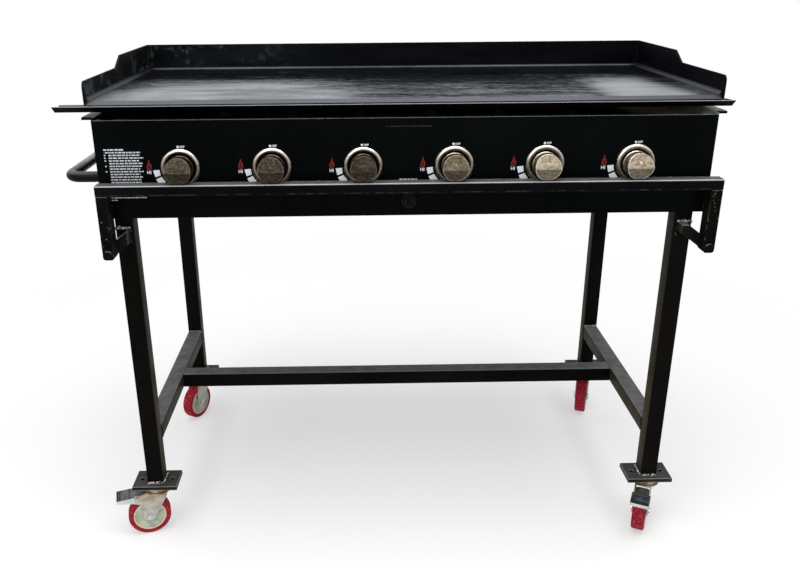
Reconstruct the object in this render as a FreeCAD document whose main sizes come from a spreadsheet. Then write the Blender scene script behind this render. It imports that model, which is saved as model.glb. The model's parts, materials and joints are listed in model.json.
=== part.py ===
import FreeCAD, Part
import os
import re
import Sketcher

# Outdoor gas griddle station: a steel griddle tray lies loose on a burner box,
# the box hangs between two rails, and the rails stand on two leg frames on casters.
# X runs along the long side, Y from the knob side to the back, Z up from the floor.
# While the pieces are built, X = 0 is the middle of the control panel and Y = 0 its front.

SIZES = [
    # control panel and burner box
    ("panel_width", 1200), ("panel_bottom", 777), ("panel_height", 194), ("sheet", 1.5),
    ("panel_return", 12), ("box_depth", 620), ("side_rise", 3), ("flange_reach", 24),
    ("flange_setback", 20), ("flange_lip", 5),
    # rails and hanging brackets, all from one rectangular tube
    ("rail_depth", 29), ("rail_height", 22), ("rail_rise", 75), ("rail_gap", 7.6),
    ("rail_overhang", 5.5), ("frame_shift", 7), ("tube_wall", 2), ("bracket_length", 128),
    ("bracket_round", 6),
    ("arm_depth", 32), ("arm_slope", 37), ("arm_reach", 12), ("arm_drop", 80),
    # leg frames, all from one square tube
    ("leg_tube", 37), ("leg_inset", 13.5), ("side_bar_rise", 134), ("centre_bar_shift", 8),
    ("caster_height", 130), ("foot_sheet", 6), ("foot_length", 101), ("foot_width", 65),
    ("foot_hole_radius", 5), ("foot_hole_offset", 34),
    # casters
    ("wheel_radius", 48), ("wheel_width", 29), ("tread_depth", 11), ("hub_width", 23),
    ("trail", 26), ("caster_sheet", 4), ("race_height", 12), ("race_radius", 26),
    ("fork_sheet", 2.5), ("fork_play", 1), ("fork_head_radius", 31), ("axle_radius", 5),
    ("axle_play", 0.08), ("axle_head_radius", 9), ("axle_head", 6), ("cheek_radius", 14),
    ("crown_back", 21), ("crown_drop", 20), ("nose_reach", 70), ("nose_drop", 20), ("nose_depth", 31),
    ("kingpin_radius", 6), ("kingpin_play", 0.08), ("kingpin_head_radius", 9), ("kingpin_head", 3),
    ("swivel_play", 0.3), ("pedal_width", 41), ("pedal_reach", 95), ("pedal_start", 55),
    ("pedal_tilt", 3), ("pedal_sheet", 2), ("pedal_drop", 7.7), ("pedal_lip", 8),
    ("pedal_pin_out", 58), ("pedal_pin_drop", 14.7), ("pedal_pin_radius", 3), ("tongue_start", 34),
    ("front_left_yaw", 196), ("front_right_yaw", 245), ("rear_left_yaw", 243), ("rear_right_yaw", 250),
    # griddle tray
    ("plate_lift", 31), ("plate_thick", 8), ("tray_overhang", 20), ("plate_front", 33),
    ("plate_back", 556), ("plate_bevel", 7), ("guard_sheet", 4), ("back_guard_height", 61),
    ("side_guard_height", 38), ("step_start", 259), ("step_end", 300), ("guard_radius", 12),
    ("gutter_front", 3), ("gutter_fall", 10), ("gutter_sheet", 2),
    ("gutter_back_slope", 7), ("gutter_front_slope", 15), ("gutter_lap", 14),
    ("gutter_lip_rise", 2), ("spout_reach", 52), ("gutter_end_reach", 10),
    ("rest_width", 16), ("rest_length", 30), ("rest_inset", 90),
    # knobs, bezels and gas parts
    ("knob_margin", 157.5), ("knob_shift", 5), ("knob_gap", 0.4), ("bezel_radius", 38.5),
    ("bezel_hole", 27.5), ("bezel_base", 2), ("knob_skirt_radius", 25.6), ("knob_skirt", 8),
    ("knurl_radius", 24.4), ("knurl_end", 14), ("knob_radius", 25.3), ("knob_face", 40),
    ("knob_ridge_drop", 2), ("knob_ridge", 1.6), ("knob_top_fall", 13), ("knob_bottom_fall", 8),
    ("knob_play", 1), ("stem_radius", 4), ("stem_play", 0.08), ("stem_grip", 24),
    ("stem_hole_play", 3), ("valve_width", 24), ("valve_depth", 38), ("valve_height", 28),
    ("valve_setback", 15), ("jet_radius", 5), ("jet_length", 24), ("manifold_radius", 10),
    ("manifold_wall", 2), ("manifold_end", 30), ("inlet_setback", 51), ("elbow_inset", 40),
    ("burner_radius", 16), ("burner_wall", 1.5), ("burner_start", 70), ("burner_end", 560),
    ("support_width", 20), ("support_height", 16), ("support_inset", 30),
    ("electrode_radius", 4), ("electrode_height", 38), ("electrode_offset", 24),
    ("inlet_radius", 10.5), ("inlet_reach", 20), ("inlet_neck_radius", 9), ("inlet_relief", 1.5),
    ("inlet_nut_radius", 15), ("inlet_nut", 6), ("inlet_bore", 5), ("inlet_flange_radius", 15),
    ("inlet_length", 31), ("inlet_play", 0.3),
    ("igniter_offset", 6), ("igniter_rise", 30), ("igniter_ring_radius", 14), ("igniter_ring", 4),
    ("igniter_barrel_radius", 11), ("igniter_barrel", 40), ("button_radius", 8),
    ("button_play", 0.08), ("button_front", 8), ("button_length", 20), ("button_travel", 4),
    ("badge_width", 87), ("badge_height", 35), ("badge_drop", 51), ("badge_sheet", 1.2),
    # carrying handle and fasteners
    ("handle_radius", 11), ("handle_out", 79), ("handle_bend", 26), ("handle_front", 60),
    ("handle_rise", 71),
    ("bolt_radius", 4), ("bolt_play", 0.2), ("bolt_head_radius", 8), ("bolt_head", 5),
    ("elbow_head_radius", 8.5), ("elbow_head", 3), ("elbow_grip", 45), ("spacer_radius", 9),
    ("rail_bolt_inset", 80),
]

# Lengths and places that follow from the sizes above
DERIVED = {
    # control panel, burner box and tray
    "panel_top": "panel_bottom + panel_height",
    "panel_left": "-panel_width / 2",
    "panel_right": "panel_width / 2",
    "flange_top": "panel_top + side_rise",
    "plate_top": "panel_top + plate_lift",
    "plate_bottom": "plate_top - plate_thick",
    "tray_width": "panel_width + 2 * tray_overhang",
    "badge_bottom": "panel_top - badge_drop",
    "handle_height": "panel_bottom + handle_rise",
    # rails, brackets and arms
    "rail_top": "panel_bottom + rail_rise",
    "rail_bottom": "rail_top - rail_height",
    "rail_middle": "rail_top - rail_height / 2",
    "rail_length": "panel_width + 2 * rail_overhang",
    "rail_front": "-rail_gap - rail_depth",
    "bracket_bottom": "rail_bottom - bracket_length",
    "elbow_height": "bracket_bottom + rail_height / 2",
    "elbow_out": "rail_length / 2 - rail_height / 2",
    "arm_top": "rail_bottom - arm_drop",
    # legs and casters
    "leg_span": "panel_width - 2 * leg_inset",
    "leg_front": "arm_depth - rail_gap",
    "leg_back": "box_depth - leg_front",
    "leg_left": "-leg_span / 2",
    "leg_right": "leg_span / 2 - leg_tube",
    "foot_top": "caster_height + foot_sheet",
    "bar_top": "foot_top + side_bar_rise",
    "race_top": "caster_height - caster_sheet",
    "fork_top": "race_top - race_height - swivel_play",
    "fork_bottom": "fork_top - fork_sheet",
    "cheek_in": "wheel_width / 2 + fork_play",
    "pedal_top": "fork_top - pedal_drop",
    "pedal_pin_height": "fork_top - pedal_pin_drop",
    # knobs and gas parts
    "knob_pitch": "(panel_width - 2 * knob_margin) / 5",
    "knob_height": "rail_top + knob_gap + knob_skirt_radius",
    "igniter_height": "panel_bottom + igniter_rise",
    "manifold_middle": "valve_setback + valve_depth / 2",
    "manifold_height": "knob_height - valve_height / 2 - manifold_radius",
    "inlet_place": "manifold_middle + inlet_setback",
    "elbow_place": "panel_right - elbow_inset",
    "inlet_start": "panel_right + inlet_reach - inlet_length",
}

doc = FreeCAD.newDocument("GriddleStation")
sheet = doc.addObject("Spreadsheet::Sheet", "dims")
for row, (alias, value) in enumerate(SIZES, start=1):
    sheet.set(f"A{row}", alias)
    sheet.set(f"B{row}", str(value))
    sheet.setAlias(f"B{row}", alias)
doc.recompute()

ALIASES = {alias for alias, value in SIZES}
NODES = []


def bound(text):
    """The expression with each size name pointing at its cell, and each derived name written out."""
    def cell(match):
        word = match.group(0)
        if word in DERIVED:
            return "(" + bound(DERIVED[word]) + ")"
        return "dims." + word if word in ALIASES else word
    return re.sub(r"[a-z_][a-z_0-9]*", cell, str(text))


def value_of(text):
    """The number that an expression gives now."""
    return float(sheet.evalExpression(bound(text)))


def bind(thing, prop, text):
    thing.setExpression(prop, bound(text))


def place(thing, x="0", y="0", z="0", turn=None):
    """Put an object at the named place, turned first by a fixed rotation."""
    rotation = turn if turn is not None else FreeCAD.Rotation()
    thing.Placement = FreeCAD.Placement(FreeCAD.Vector(0, 0, 0), rotation)
    bind(thing, "Placement.Base.x", x)
    bind(thing, "Placement.Base.y", y)
    bind(thing, "Placement.Base.z", z)
    return thing


ALONG_X = FreeCAD.Rotation(FreeCAD.Vector(0, 1, 0), 90)
ALONG_Y = FreeCAD.Rotation(FreeCAD.Vector(1, 0, 0), -90)
ALONG_Z = FreeCAD.Rotation()


def block(name, size, corner):
    """A box with its sizes and its lowest corner as expressions."""
    thing = doc.addObject("Part::Box", name)
    for prop, text in zip(("Length", "Width", "Height"), size):
        bind(thing, prop, text)
    return place(thing, *corner)


def rod(name, radius, length, start, turn=ALONG_Z):
    """A round bar that starts at a point and runs along the turned Z axis."""
    thing = doc.addObject("Part::Cylinder", name)
    bind(thing, "Radius", radius)
    bind(thing, "Height", length)
    return place(thing, *start, turn=turn)


def fuse(name, shapes):
    thing = doc.addObject("Part::MultiFuse", name)
    thing.Shapes = shapes
    return thing


def cut(name, base, tools):
    tool = tools[0] if len(tools) == 1 else fuse(name + "_tools", tools)
    thing = doc.addObject("Part::Cut", name)
    thing.Base = base
    thing.Tool = tool
    return thing


def group(name, solids):
    thing = doc.addObject("Part::Compound", name)
    thing.Links = solids
    return thing


def node(thing, label):
    """Register a finished sub-part under its file name."""
    thing.Label = label
    NODES.append(thing)
    return thing


def outline(name, plane, points, width):
    """A closed outline of straight edges in XZ or YZ, as thick as width and centred on the plane."""
    body = doc.addObject("PartDesign::Body", name)
    sketch = body.newObject("Sketcher::SketchObject", name + "_sketch")
    role = {"XZ": "XZ_Plane", "YZ": "YZ_Plane"}[plane]
    support = next(item for item in body.Origin.OriginFeatures if item.Role == role)
    sketch.AttachmentSupport = (support, [""])
    sketch.MapMode = "FlatFace"
    spots = [FreeCAD.Vector(value_of(a), value_of(b), 0) for a, b in points]
    count = len(points)
    for index in range(count):
        sketch.addGeometry(Part.LineSegment(spots[index], spots[(index + 1) % count]), False)
    for index in range(count):
        sketch.addConstraint(Sketcher.Constraint("Coincident", index, 2, (index + 1) % count, 1))
    for index, (across, upward) in enumerate(points):
        spot = spots[index]
        for kind, text, number in (("DistanceX", across, spot.x), ("DistanceY", upward, spot.y)):
            place_in_sketch = sketch.addConstraint(Sketcher.Constraint(kind, index, 1, number))
            sketch.setExpression(f"Constraints[{place_in_sketch}]", bound(text))
    pad = body.newObject("PartDesign::Pad", name + "_pad")
    pad.Profile = sketch
    pad.SideType = "Symmetric"
    bind(pad, "Length", width)
    return body


def tube_along(name, axis, size, corner, wall):
    """A rectangular tube, open at both ends of the named axis."""
    outer = block(name + "_outer", size, corner)
    inner_size = list(size)
    inner_corner = list(corner)
    for number, letter in enumerate("XYZ"):
        if letter != axis:
            inner_size[number] = f"{size[number]} - 2 * {wall}"
            inner_corner[number] = f"{corner[number]} + {wall}"
    inner = block(name + "_inner", inner_size, inner_corner)
    return cut(name, outer, [inner])


def knob_x(index):
    return f"(knob_shift + ({index} - 2.5) * knob_pitch)"


def box_frame_side(front):
    """Outer and inner Y places of the rail on the knob side or at the back."""
    if front:
        return "rail_front"
    return "(box_depth + rail_gap)"


def along_y(start, length, front):
    """Lowest Y and length of a piece that runs from start towards the box middle, mirrored at the back."""
    if front:
        return start
    return f"(box_depth - ({start}) - ({length}))"


def make_rails():
    for label, front in (("front_rail", True), ("rear_rail", False)):
        y = box_frame_side(front)
        size = ("rail_length", "rail_depth", "rail_height")
        corner = ("frame_shift - rail_length / 2", y, "rail_bottom")
        inner_half = y + " + rail_depth / 2" if front else y
        tube = tube_along(label + "_tube", "X", size, corner, "tube_wall")
        holes = [
            rod(f"{label}_hole_{index}", "bolt_radius + bolt_play", "rail_depth / 2",
                (x, inner_half, "rail_middle"), ALONG_Y)
            for index, x in enumerate(rail_bolt_places())
        ]
        node(cut(label, tube, holes), label)


def rail_bolt_places():
    far = "(panel_width / 2 - rail_bolt_inset)"
    return ("(-" + far + ")", "(knob_shift - knob_pitch)", "(knob_shift + knob_pitch)", far)


def make_rail_end_caps():
    caps = []
    for front in (True, False):
        y = box_frame_side(front)
        for side in (0, 1):
            x = f"frame_shift - rail_length / 2 + {side} * (rail_length - tube_wall)"
            size = ("tube_wall", "rail_depth - 2 * tube_wall", "rail_height - 2 * tube_wall")
            corner = (x, y + " + tube_wall", "rail_bottom + tube_wall")
            caps.append(block(f"rail_cap_{int(front)}_{side}", size, corner))
    node(group("rail_end_caps", caps), "rail_end_caps")


def make_brackets():
    """Short tubes that hang from the rail ends and carry the leg arms."""
    straight = "(rail_bottom - elbow_height)"
    for row, front in (("front", True), ("rear", False)):
        y = box_frame_side(front)
        pair = []
        for side, sign in (("left", -1), ("right", 1)):
            name = f"{row}_{side}_bracket"
            middle = f"(frame_shift + {sign} * elbow_out)"
            low = "(elbow_height - rail_height / 2)"
            outer = block(name + "_outer", ("rail_height", "rail_depth", f"rail_bottom - {low} - bracket_round"),
                          (middle + " - rail_height / 2", y, low + " + bracket_round"))
            end = block(name + "_end", ("rail_height - 2 * bracket_round", "rail_depth", "bracket_round"),
                        (middle + " - rail_height / 2 + bracket_round", y, low))
            corners = [
                rod(f"{name}_corner_{number}", "bracket_round", "rail_depth",
                    (f"{middle} + {number} * (rail_height / 2 - bracket_round)", y, low + " + bracket_round"),
                    ALONG_Y)
                for number in (-1, 1)
            ]
            inner = block(name + "_inner",
                          ("rail_height - 2 * tube_wall", "rail_depth - 2 * tube_wall", straight),
                          (middle + " - rail_height / 2 + tube_wall", y + " + tube_wall", "elbow_height"))
            hole = rod(name + "_hole", "bolt_radius + bolt_play", "rail_depth + 2",
                       (middle, y + " - 1", "elbow_height"), ALONG_Y)
            pair.append(cut(name, fuse(name + "_solid", [outer, end] + corners), [inner, hole]))
        node(group(f"{row}_brackets", pair), f"{row}_brackets")


def make_leg_arms():
    """Slanting arms, welded between the brackets and the faces of the legs."""
    arms = []
    for row, front in (("front", True), ("rear", False)):
        middle_y = "(leg_front - arm_depth / 2)" if front else "(leg_back + arm_depth / 2)"
        for side, sign in (("left", -1), ("right", 1)):
            name = f"{row}_{side}_arm"
            elbow = f"(frame_shift + {sign} * elbow_out)"
            inner = f"({sign} * (leg_span / 2 - leg_tube / 2 - arm_reach))"
            run = f"({sign} * ({elbow} - {inner}))"
            lift = f"({run} * tan(arm_slope))"
            half = "(rail_height / 2 / cos(arm_slope))"
            top_run = f"((arm_top - elbow_height - {half}) / tan(arm_slope))"
            points = [
                (inner, f"elbow_height + {lift} - {half}"),
                (f"{elbow} - {sign} * rail_height / 2 * sin(arm_slope)",
                 "elbow_height - rail_height / 2 * cos(arm_slope)"),
                (f"{elbow} + {sign} * rail_height / 2 * sin(arm_slope)",
                 "elbow_height + rail_height / 2 * cos(arm_slope)"),
                (f"{elbow} - {sign} * {top_run}", "arm_top"),
                (inner, "arm_top"),
            ]
            bar = outline(name + "_bar", "XZ", points, "arm_depth")
            place(bar, "0", middle_y, "0")
            end = rod(name + "_end", "rail_height / 2", "arm_depth",
                      (elbow, middle_y + " - arm_depth / 2", "elbow_height"), ALONG_Y)
            hole_start = "rail_front + rail_depth - 1"
            hole_length = "(elbow_grip - rail_depth + 2)"
            hole = rod(name + "_hole", "bolt_radius + bolt_play", hole_length,
                       (elbow, along_y(hole_start, hole_length, front), "elbow_height"), ALONG_Y)
            arms.append(cut(name, fuse(name + "_solid", [bar, end]), [hole]))
    node(group("leg_arms", arms), "leg_arms")


def leg_corner(row, side):
    x = "leg_left" if side == "left" else "leg_right"
    y = "leg_front" if row == "front" else "(leg_back - leg_tube)"
    return x, y


def make_legs():
    for row in ("front", "rear"):
        for side in ("left", "right"):
            x, y = leg_corner(row, side)
            name = f"{row}_{side}_leg"
            size = ("leg_tube", "leg_tube", "panel_bottom - foot_top")
            node(tube_along(name, "Z", size, (x, y, "foot_top"), "tube_wall"), name)


def make_bars():
    depth = "(leg_back - leg_front - 2 * leg_tube)"
    for side, x in (("left", "leg_left"), ("right", "leg_right")):
        name = f"{side}_side_bar"
        corner = (x, "leg_front + leg_tube", "bar_top - leg_tube")
        node(tube_along(name, "Y", ("leg_tube", depth, "leg_tube"), corner, "tube_wall"), name)
    corner = ("leg_left + leg_tube", "box_depth / 2 - leg_tube / 2 + centre_bar_shift", "bar_top - leg_tube")
    size = ("leg_span - 2 * leg_tube", "leg_tube", "leg_tube")
    node(tube_along("centre_bar", "X", size, corner, "tube_wall"), "centre_bar")


def make_foot_plates():
    plates = []
    for row in ("front", "rear"):
        for side in ("left", "right"):
            x, y = leg_corner(row, side)
            name = f"{row}_{side}_foot"
            middle_x = f"({x} + leg_tube / 2)"
            middle_y = f"({y} + leg_tube / 2)"
            corner = (middle_x + " - foot_length / 2", middle_y + " - foot_width / 2", "caster_height")
            body = block(name + "_sheet", ("foot_length", "foot_width", "foot_sheet"), corner)
            holes = [
                rod(f"{name}_hole_{end}", "foot_hole_radius", "foot_sheet + 2",
                    (f"{middle_x} + {end} * foot_hole_offset", middle_y, "caster_height - 1"))
                for end in (-1, 1)
            ]
            plates.append(cut(name, body, holes))
    node(group("foot_plates", plates), "foot_plates")


def turned(thing, row, side):
    """Turn a caster piece about its kingpin and stand it under its leg."""
    x, y = leg_corner(row, side)
    about_z = FreeCAD.Rotation(FreeCAD.Vector(0, 0, 1), 10)
    thing.Placement = FreeCAD.Placement(FreeCAD.Vector(0, 0, 0), about_z)
    bind(thing, "Placement.Rotation.Angle", f"{row}_{side}_yaw")
    bind(thing, "Placement.Base.x", f"{x} + leg_tube / 2")
    bind(thing, "Placement.Base.y", f"{y} + leg_tube / 2")
    return thing


def caster_head(row, side):
    """The caster's fixed top plate with its ball race and kingpin, square to the leg."""
    x, y = leg_corner(row, side)
    name = f"{row}_{side}_head"
    middle_x = f"({x} + leg_tube / 2)"
    middle_y = f"({y} + leg_tube / 2)"
    flat = block(name + "_flat", ("foot_length", "foot_width", "caster_sheet"),
                 (middle_x + " - foot_length / 2", middle_y + " - foot_width / 2", "race_top"))
    race = rod(name + "_race", "race_radius", "race_height", (middle_x, middle_y, "race_top - race_height"))
    pin = rod(name + "_pin", "kingpin_radius", "race_height + 2 * swivel_play + fork_sheet",
              (middle_x, middle_y, "fork_bottom - swivel_play"))
    rivet = rod(name + "_rivet", "kingpin_head_radius", "kingpin_head",
                (middle_x, middle_y, "fork_bottom - swivel_play - kingpin_head"))
    return fuse(name, [flat, race, pin, rivet])


def make_fork(row, side):
    """Stamped fork: a round head and two cheeks that narrow down to the axle."""
    name = f"{row}_{side}_fork"
    braked = row == "front"
    head = rod(name + "_head", "fork_head_radius", "fork_sheet", ("0", "0", "fork_bottom"))
    bridge = block(name + "_bridge",
                   ("crown_back + fork_head_radius", "2 * (cheek_in + fork_sheet)", "fork_sheet"),
                   ("-crown_back", "-cheek_in - fork_sheet", "fork_bottom"))
    profile = [
        ("-crown_back", "fork_top"),
        ("-crown_back * 2 / 3", "fork_top - crown_drop"),
        ("trail - cheek_radius", "wheel_radius"),
        ("trail + cheek_radius", "wheel_radius"),
        ("trail + cheek_radius", "fork_top - nose_depth"),
    ]
    if braked:
        profile += [
            ("nose_reach", "fork_top - nose_drop"),
            ("nose_reach", "fork_top - nose_drop + 2 * fork_sheet"),
            ("nose_reach - nose_drop", "fork_top - 3 * fork_sheet"),
        ]
    profile.append(("fork_head_radius", "fork_top"))
    pieces = [head, bridge]
    tools = []
    for number, sign in enumerate((-1, 1)):
        middle = f"{sign} * (cheek_in + fork_sheet / 2)"
        cheek = outline(f"{name}_cheek_{number}", "XZ", profile, "fork_sheet")
        place(cheek, "0", middle, "0")
        boss = rod(f"{name}_boss_{number}", "cheek_radius", "fork_sheet",
                   ("trail", middle + " - fork_sheet / 2", "wheel_radius"), ALONG_Y)
        pieces += [cheek, boss]
    tools.append(rod(name + "_pin_hole", "kingpin_radius + kingpin_play", "fork_sheet + 2",
                     ("0", "0", "fork_bottom - 1")))
    tools.append(rod(name + "_axle_hole", "axle_radius", "wheel_width * 2",
                     ("trail", "-wheel_width", "wheel_radius"), ALONG_Y))
    if braked:
        tools.append(rod(name + "_pedal_hole", "pedal_pin_radius + axle_play", "pedal_width + 2",
                         ("pedal_pin_out", "-pedal_width / 2 - 1", "pedal_pin_height"), ALONG_Y))
    node(turned(cut(name, fuse(name + "_solid", pieces), tools), row, side), name)


def make_wheel(row, side):
    """Tread, hub and axle of one caster wheel."""
    name = f"{row}_{side}"
    middle = ("trail", "-wheel_width / 2", "wheel_radius")
    tyre = rod(name + "_tyre", "wheel_radius", "wheel_width", middle, ALONG_Y)
    seat = rod(name + "_seat", "wheel_radius - tread_depth", "wheel_width + 2",
               ("trail", "-wheel_width / 2 - 1", "wheel_radius"), ALONG_Y)
    node(turned(cut(name + "_tread", tyre, [seat]), row, side), name + "_wheel_tread")
    disc = rod(name + "_disc", "wheel_radius - tread_depth", "hub_width",
               ("trail", "-hub_width / 2", "wheel_radius"), ALONG_Y)
    boss = rod(name + "_hub_boss", "axle_radius * 2", "wheel_width + fork_play",
               ("trail", "-wheel_width / 2 - fork_play / 2", "wheel_radius"), ALONG_Y)
    bore = rod(name + "_bore", "axle_radius + axle_play", "wheel_width * 2",
               ("trail", "-wheel_width", "wheel_radius"), ALONG_Y)
    node(turned(cut(name + "_hub", fuse(name + "_hub_solid", [disc, boss]), [bore]), row, side),
         name + "_wheel_hub")
    half = "(cheek_in + fork_sheet)"
    shank = rod(name + "_shank", "axle_radius", f"2 * {half} + 2 * axle_head",
                ("trail", f"-{half} - axle_head", "wheel_radius"), ALONG_Y)
    heads = [
        rod(f"{name}_axle_head_{number}", "axle_head_radius", "axle_head",
            ("trail", start, "wheel_radius"), ALONG_Y)
        for number, start in enumerate((f"-{half} - axle_head", half))
    ]
    node(turned(fuse(name + "_axle", [shank] + heads), row, side), name + "_axle")


def make_pedal(row, side):
    """Brake pedal: a channel that straddles the fork's nose on a pin, with a lip at its free end
    and a tongue that reaches in between the cheeks."""
    name = f"{row}_{side}_brake_pedal"
    fall = "((pedal_reach - pedal_start) * tan(pedal_tilt))"
    outer = outline(name + "_outer", "XZ", [
        ("pedal_start", f"pedal_top + {fall}"),
        ("pedal_start", "pedal_pin_height - 2 * pedal_pin_radius"),
        ("pedal_pin_out + 2 * pedal_pin_radius", "pedal_pin_height - 2 * pedal_pin_radius"),
        ("pedal_reach", "pedal_top - pedal_lip"),
        ("pedal_reach", "pedal_top"),
    ], "pedal_width")
    inner = outline(name + "_inner", "XZ", [
        ("pedal_start - 1", f"pedal_top + {fall} + tan(pedal_tilt) - pedal_sheet"),
        ("pedal_start - 1", "pedal_pin_height - 5 * pedal_pin_radius"),
        ("pedal_reach - pedal_sheet", "pedal_pin_height - 5 * pedal_pin_radius"),
        ("pedal_reach - pedal_sheet", "pedal_top + pedal_sheet * tan(pedal_tilt) - pedal_sheet"),
    ], "pedal_width - 2 * pedal_sheet")
    channel = cut(name + "_channel", outer, [inner])
    overlap = "(pedal_start + pedal_sheet)"
    tongue_rise = "((pedal_reach - tongue_start) * tan(pedal_tilt))"
    overlap_rise = f"((pedal_reach - {overlap}) * tan(pedal_tilt))"
    tongue = outline(name + "_tongue", "XZ", [
        ("tongue_start", f"pedal_top + {tongue_rise}"),
        ("tongue_start", f"pedal_top + {tongue_rise} - pedal_sheet"),
        (overlap, f"pedal_top + {overlap_rise} - pedal_sheet"),
        (overlap, f"pedal_top + {overlap_rise}"),
    ], "2 * cheek_in - 2 * fork_play")
    pin = rod(name + "_pin", "pedal_pin_radius", "pedal_width",
              ("pedal_pin_out", "-pedal_width / 2", "pedal_pin_height"), ALONG_Y)
    node(turned(fuse(name, [channel, tongue, pin]), row, side), name)


def make_casters():
    heads = []
    for row in ("front", "rear"):
        for side in ("left", "right"):
            heads.append(caster_head(row, side))
            make_fork(row, side)
            make_wheel(row, side)
            if row == "front":
                make_pedal(row, side)
    node(group("caster_heads", heads), "caster_heads")


def make_front_panel():
    face = block("panel_face", ("panel_width", "sheet", "panel_height"), ("panel_left", "0", "panel_bottom"))
    top = block("panel_top_return", ("panel_width - 2 * sheet", "panel_return", "sheet"),
                ("panel_left + sheet", "0", "panel_top - sheet"))
    holes = []
    for index in range(6):
        holes.append(rod(f"panel_stem_hole_{index}", "stem_radius + stem_hole_play", "sheet + 2",
                         (knob_x(index), "-1", "knob_height"), ALONG_Y))
    holes.append(rod("panel_igniter_hole", "igniter_barrel_radius", "sheet + 2",
                     ("igniter_offset", "-1", "igniter_height"), ALONG_Y))
    for index, x in enumerate(rail_bolt_places()):
        holes.append(rod(f"panel_bolt_hole_{index}", "bolt_radius + bolt_play", "sheet + 2",
                         (x, "-1", "rail_middle"), ALONG_Y))
    node(cut("front_panel_cut", fuse("front_panel_solid", [face, top]), holes), "front_panel")


def make_box_shell():
    """Folded floor, sides and back of the burner box, with lipped flanges that carry the tray."""
    depth = "(box_depth - sheet)"
    floor = block("shell_floor", ("panel_width", depth, "sheet"), ("panel_left", "sheet", "panel_bottom"))
    rise = "(flange_top - panel_bottom)"
    left = block("shell_left", ("sheet", depth, rise), ("panel_left", "sheet", "panel_bottom"))
    right = block("shell_right", ("sheet", depth, rise), ("panel_right - sheet", "sheet", "panel_bottom"))
    back = block("shell_back", ("panel_width", "sheet", "panel_height"),
                 ("panel_left", "box_depth - sheet", "panel_bottom"))
    flange_depth = "(box_depth - flange_setback)"
    flange_left = block("shell_flange_left", ("flange_reach", flange_depth, "sheet"),
                        ("panel_left - flange_reach", "flange_setback", "flange_top - sheet"))
    flange_right = block("shell_flange_right", ("flange_reach", flange_depth, "sheet"),
                         ("panel_right", "flange_setback", "flange_top - sheet"))
    inlet_hole = rod("shell_inlet_hole", "inlet_neck_radius + inlet_play", "sheet + 2",
                     ("panel_right - sheet - 1", "inlet_place", "manifold_height"), ALONG_X)
    tools = [inlet_hole]
    for index, x in enumerate(rail_bolt_places()):
        tools.append(rod(f"shell_bolt_hole_{index}", "bolt_radius + bolt_play", "sheet + 2",
                         (x, "box_depth - sheet - 1", "rail_middle"), ALONG_Y))
    lip_left = block("shell_lip_left", ("flange_reach", "sheet", "flange_lip"),
                     ("panel_left - flange_reach", "flange_setback", "flange_top - flange_lip"))
    lip_right = block("shell_lip_right", ("flange_reach", "sheet", "flange_lip"),
                      ("panel_right", "flange_setback", "flange_top - flange_lip"))
    solid = fuse("box_shell_solid", [floor, left, right, back, flange_left, flange_right, lip_left, lip_right])
    node(cut("box_shell_cut", solid, tools), "burner_box_shell")


def make_rail_fixings():
    """Spacer sleeves and bolts that hold the rails to the box, and the bolts through the brackets."""
    spacers = []
    bolts = []
    height = "rail_middle"
    rail_grip = "(rail_gap + sheet + rail_depth / 2)"
    for row, front in (("front", True), ("rear", False)):
        for index, x in enumerate(rail_bolt_places()):
            sleeve = rod(f"{row}_sleeve_{index}", "spacer_radius", "rail_gap",
                         (x, along_y("-rail_gap", "rail_gap", front), height), ALONG_Y)
            hole = rod(f"{row}_sleeve_hole_{index}", "bolt_radius + bolt_play", "rail_gap + 2",
                       (x, along_y("-rail_gap - 1", "rail_gap + 2", front), height), ALONG_Y)
            spacers.append(cut(f"{row}_spacer_{index}", sleeve, [hole]))
            shank = rod(f"{row}_shank_{index}", "bolt_radius", rail_grip,
                        (x, along_y("sheet - " + rail_grip, rail_grip, front), height), ALONG_Y)
            head = rod(f"{row}_bolt_head_{index}", "bolt_head_radius", "bolt_head",
                       (x, along_y("sheet", "bolt_head", front), height), ALONG_Y)
            bolts.append(fuse(f"{row}_rail_bolt_{index}", [shank, head]))
        for side, sign in (("left", -1), ("right", 1)):
            elbow = f"(frame_shift + {sign} * elbow_out)"
            shank = rod(f"{row}_{side}_elbow_shank", "bolt_radius", "elbow_grip",
                        (elbow, along_y("rail_front", "elbow_grip", front), "elbow_height"), ALONG_Y)
            head_y = along_y("rail_front - elbow_head", "elbow_head", front)
            head = rod(f"{row}_{side}_elbow_head", "elbow_head_radius", "elbow_head",
                       (elbow, head_y, "elbow_height"), ALONG_Y)
            bolts.append(fuse(f"{row}_{side}_elbow_bolt", [shank, head]))
    node(group("rail_spacers", spacers), "rail_spacers")
    node(group("frame_bolts", bolts), "frame_bolts")


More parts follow.
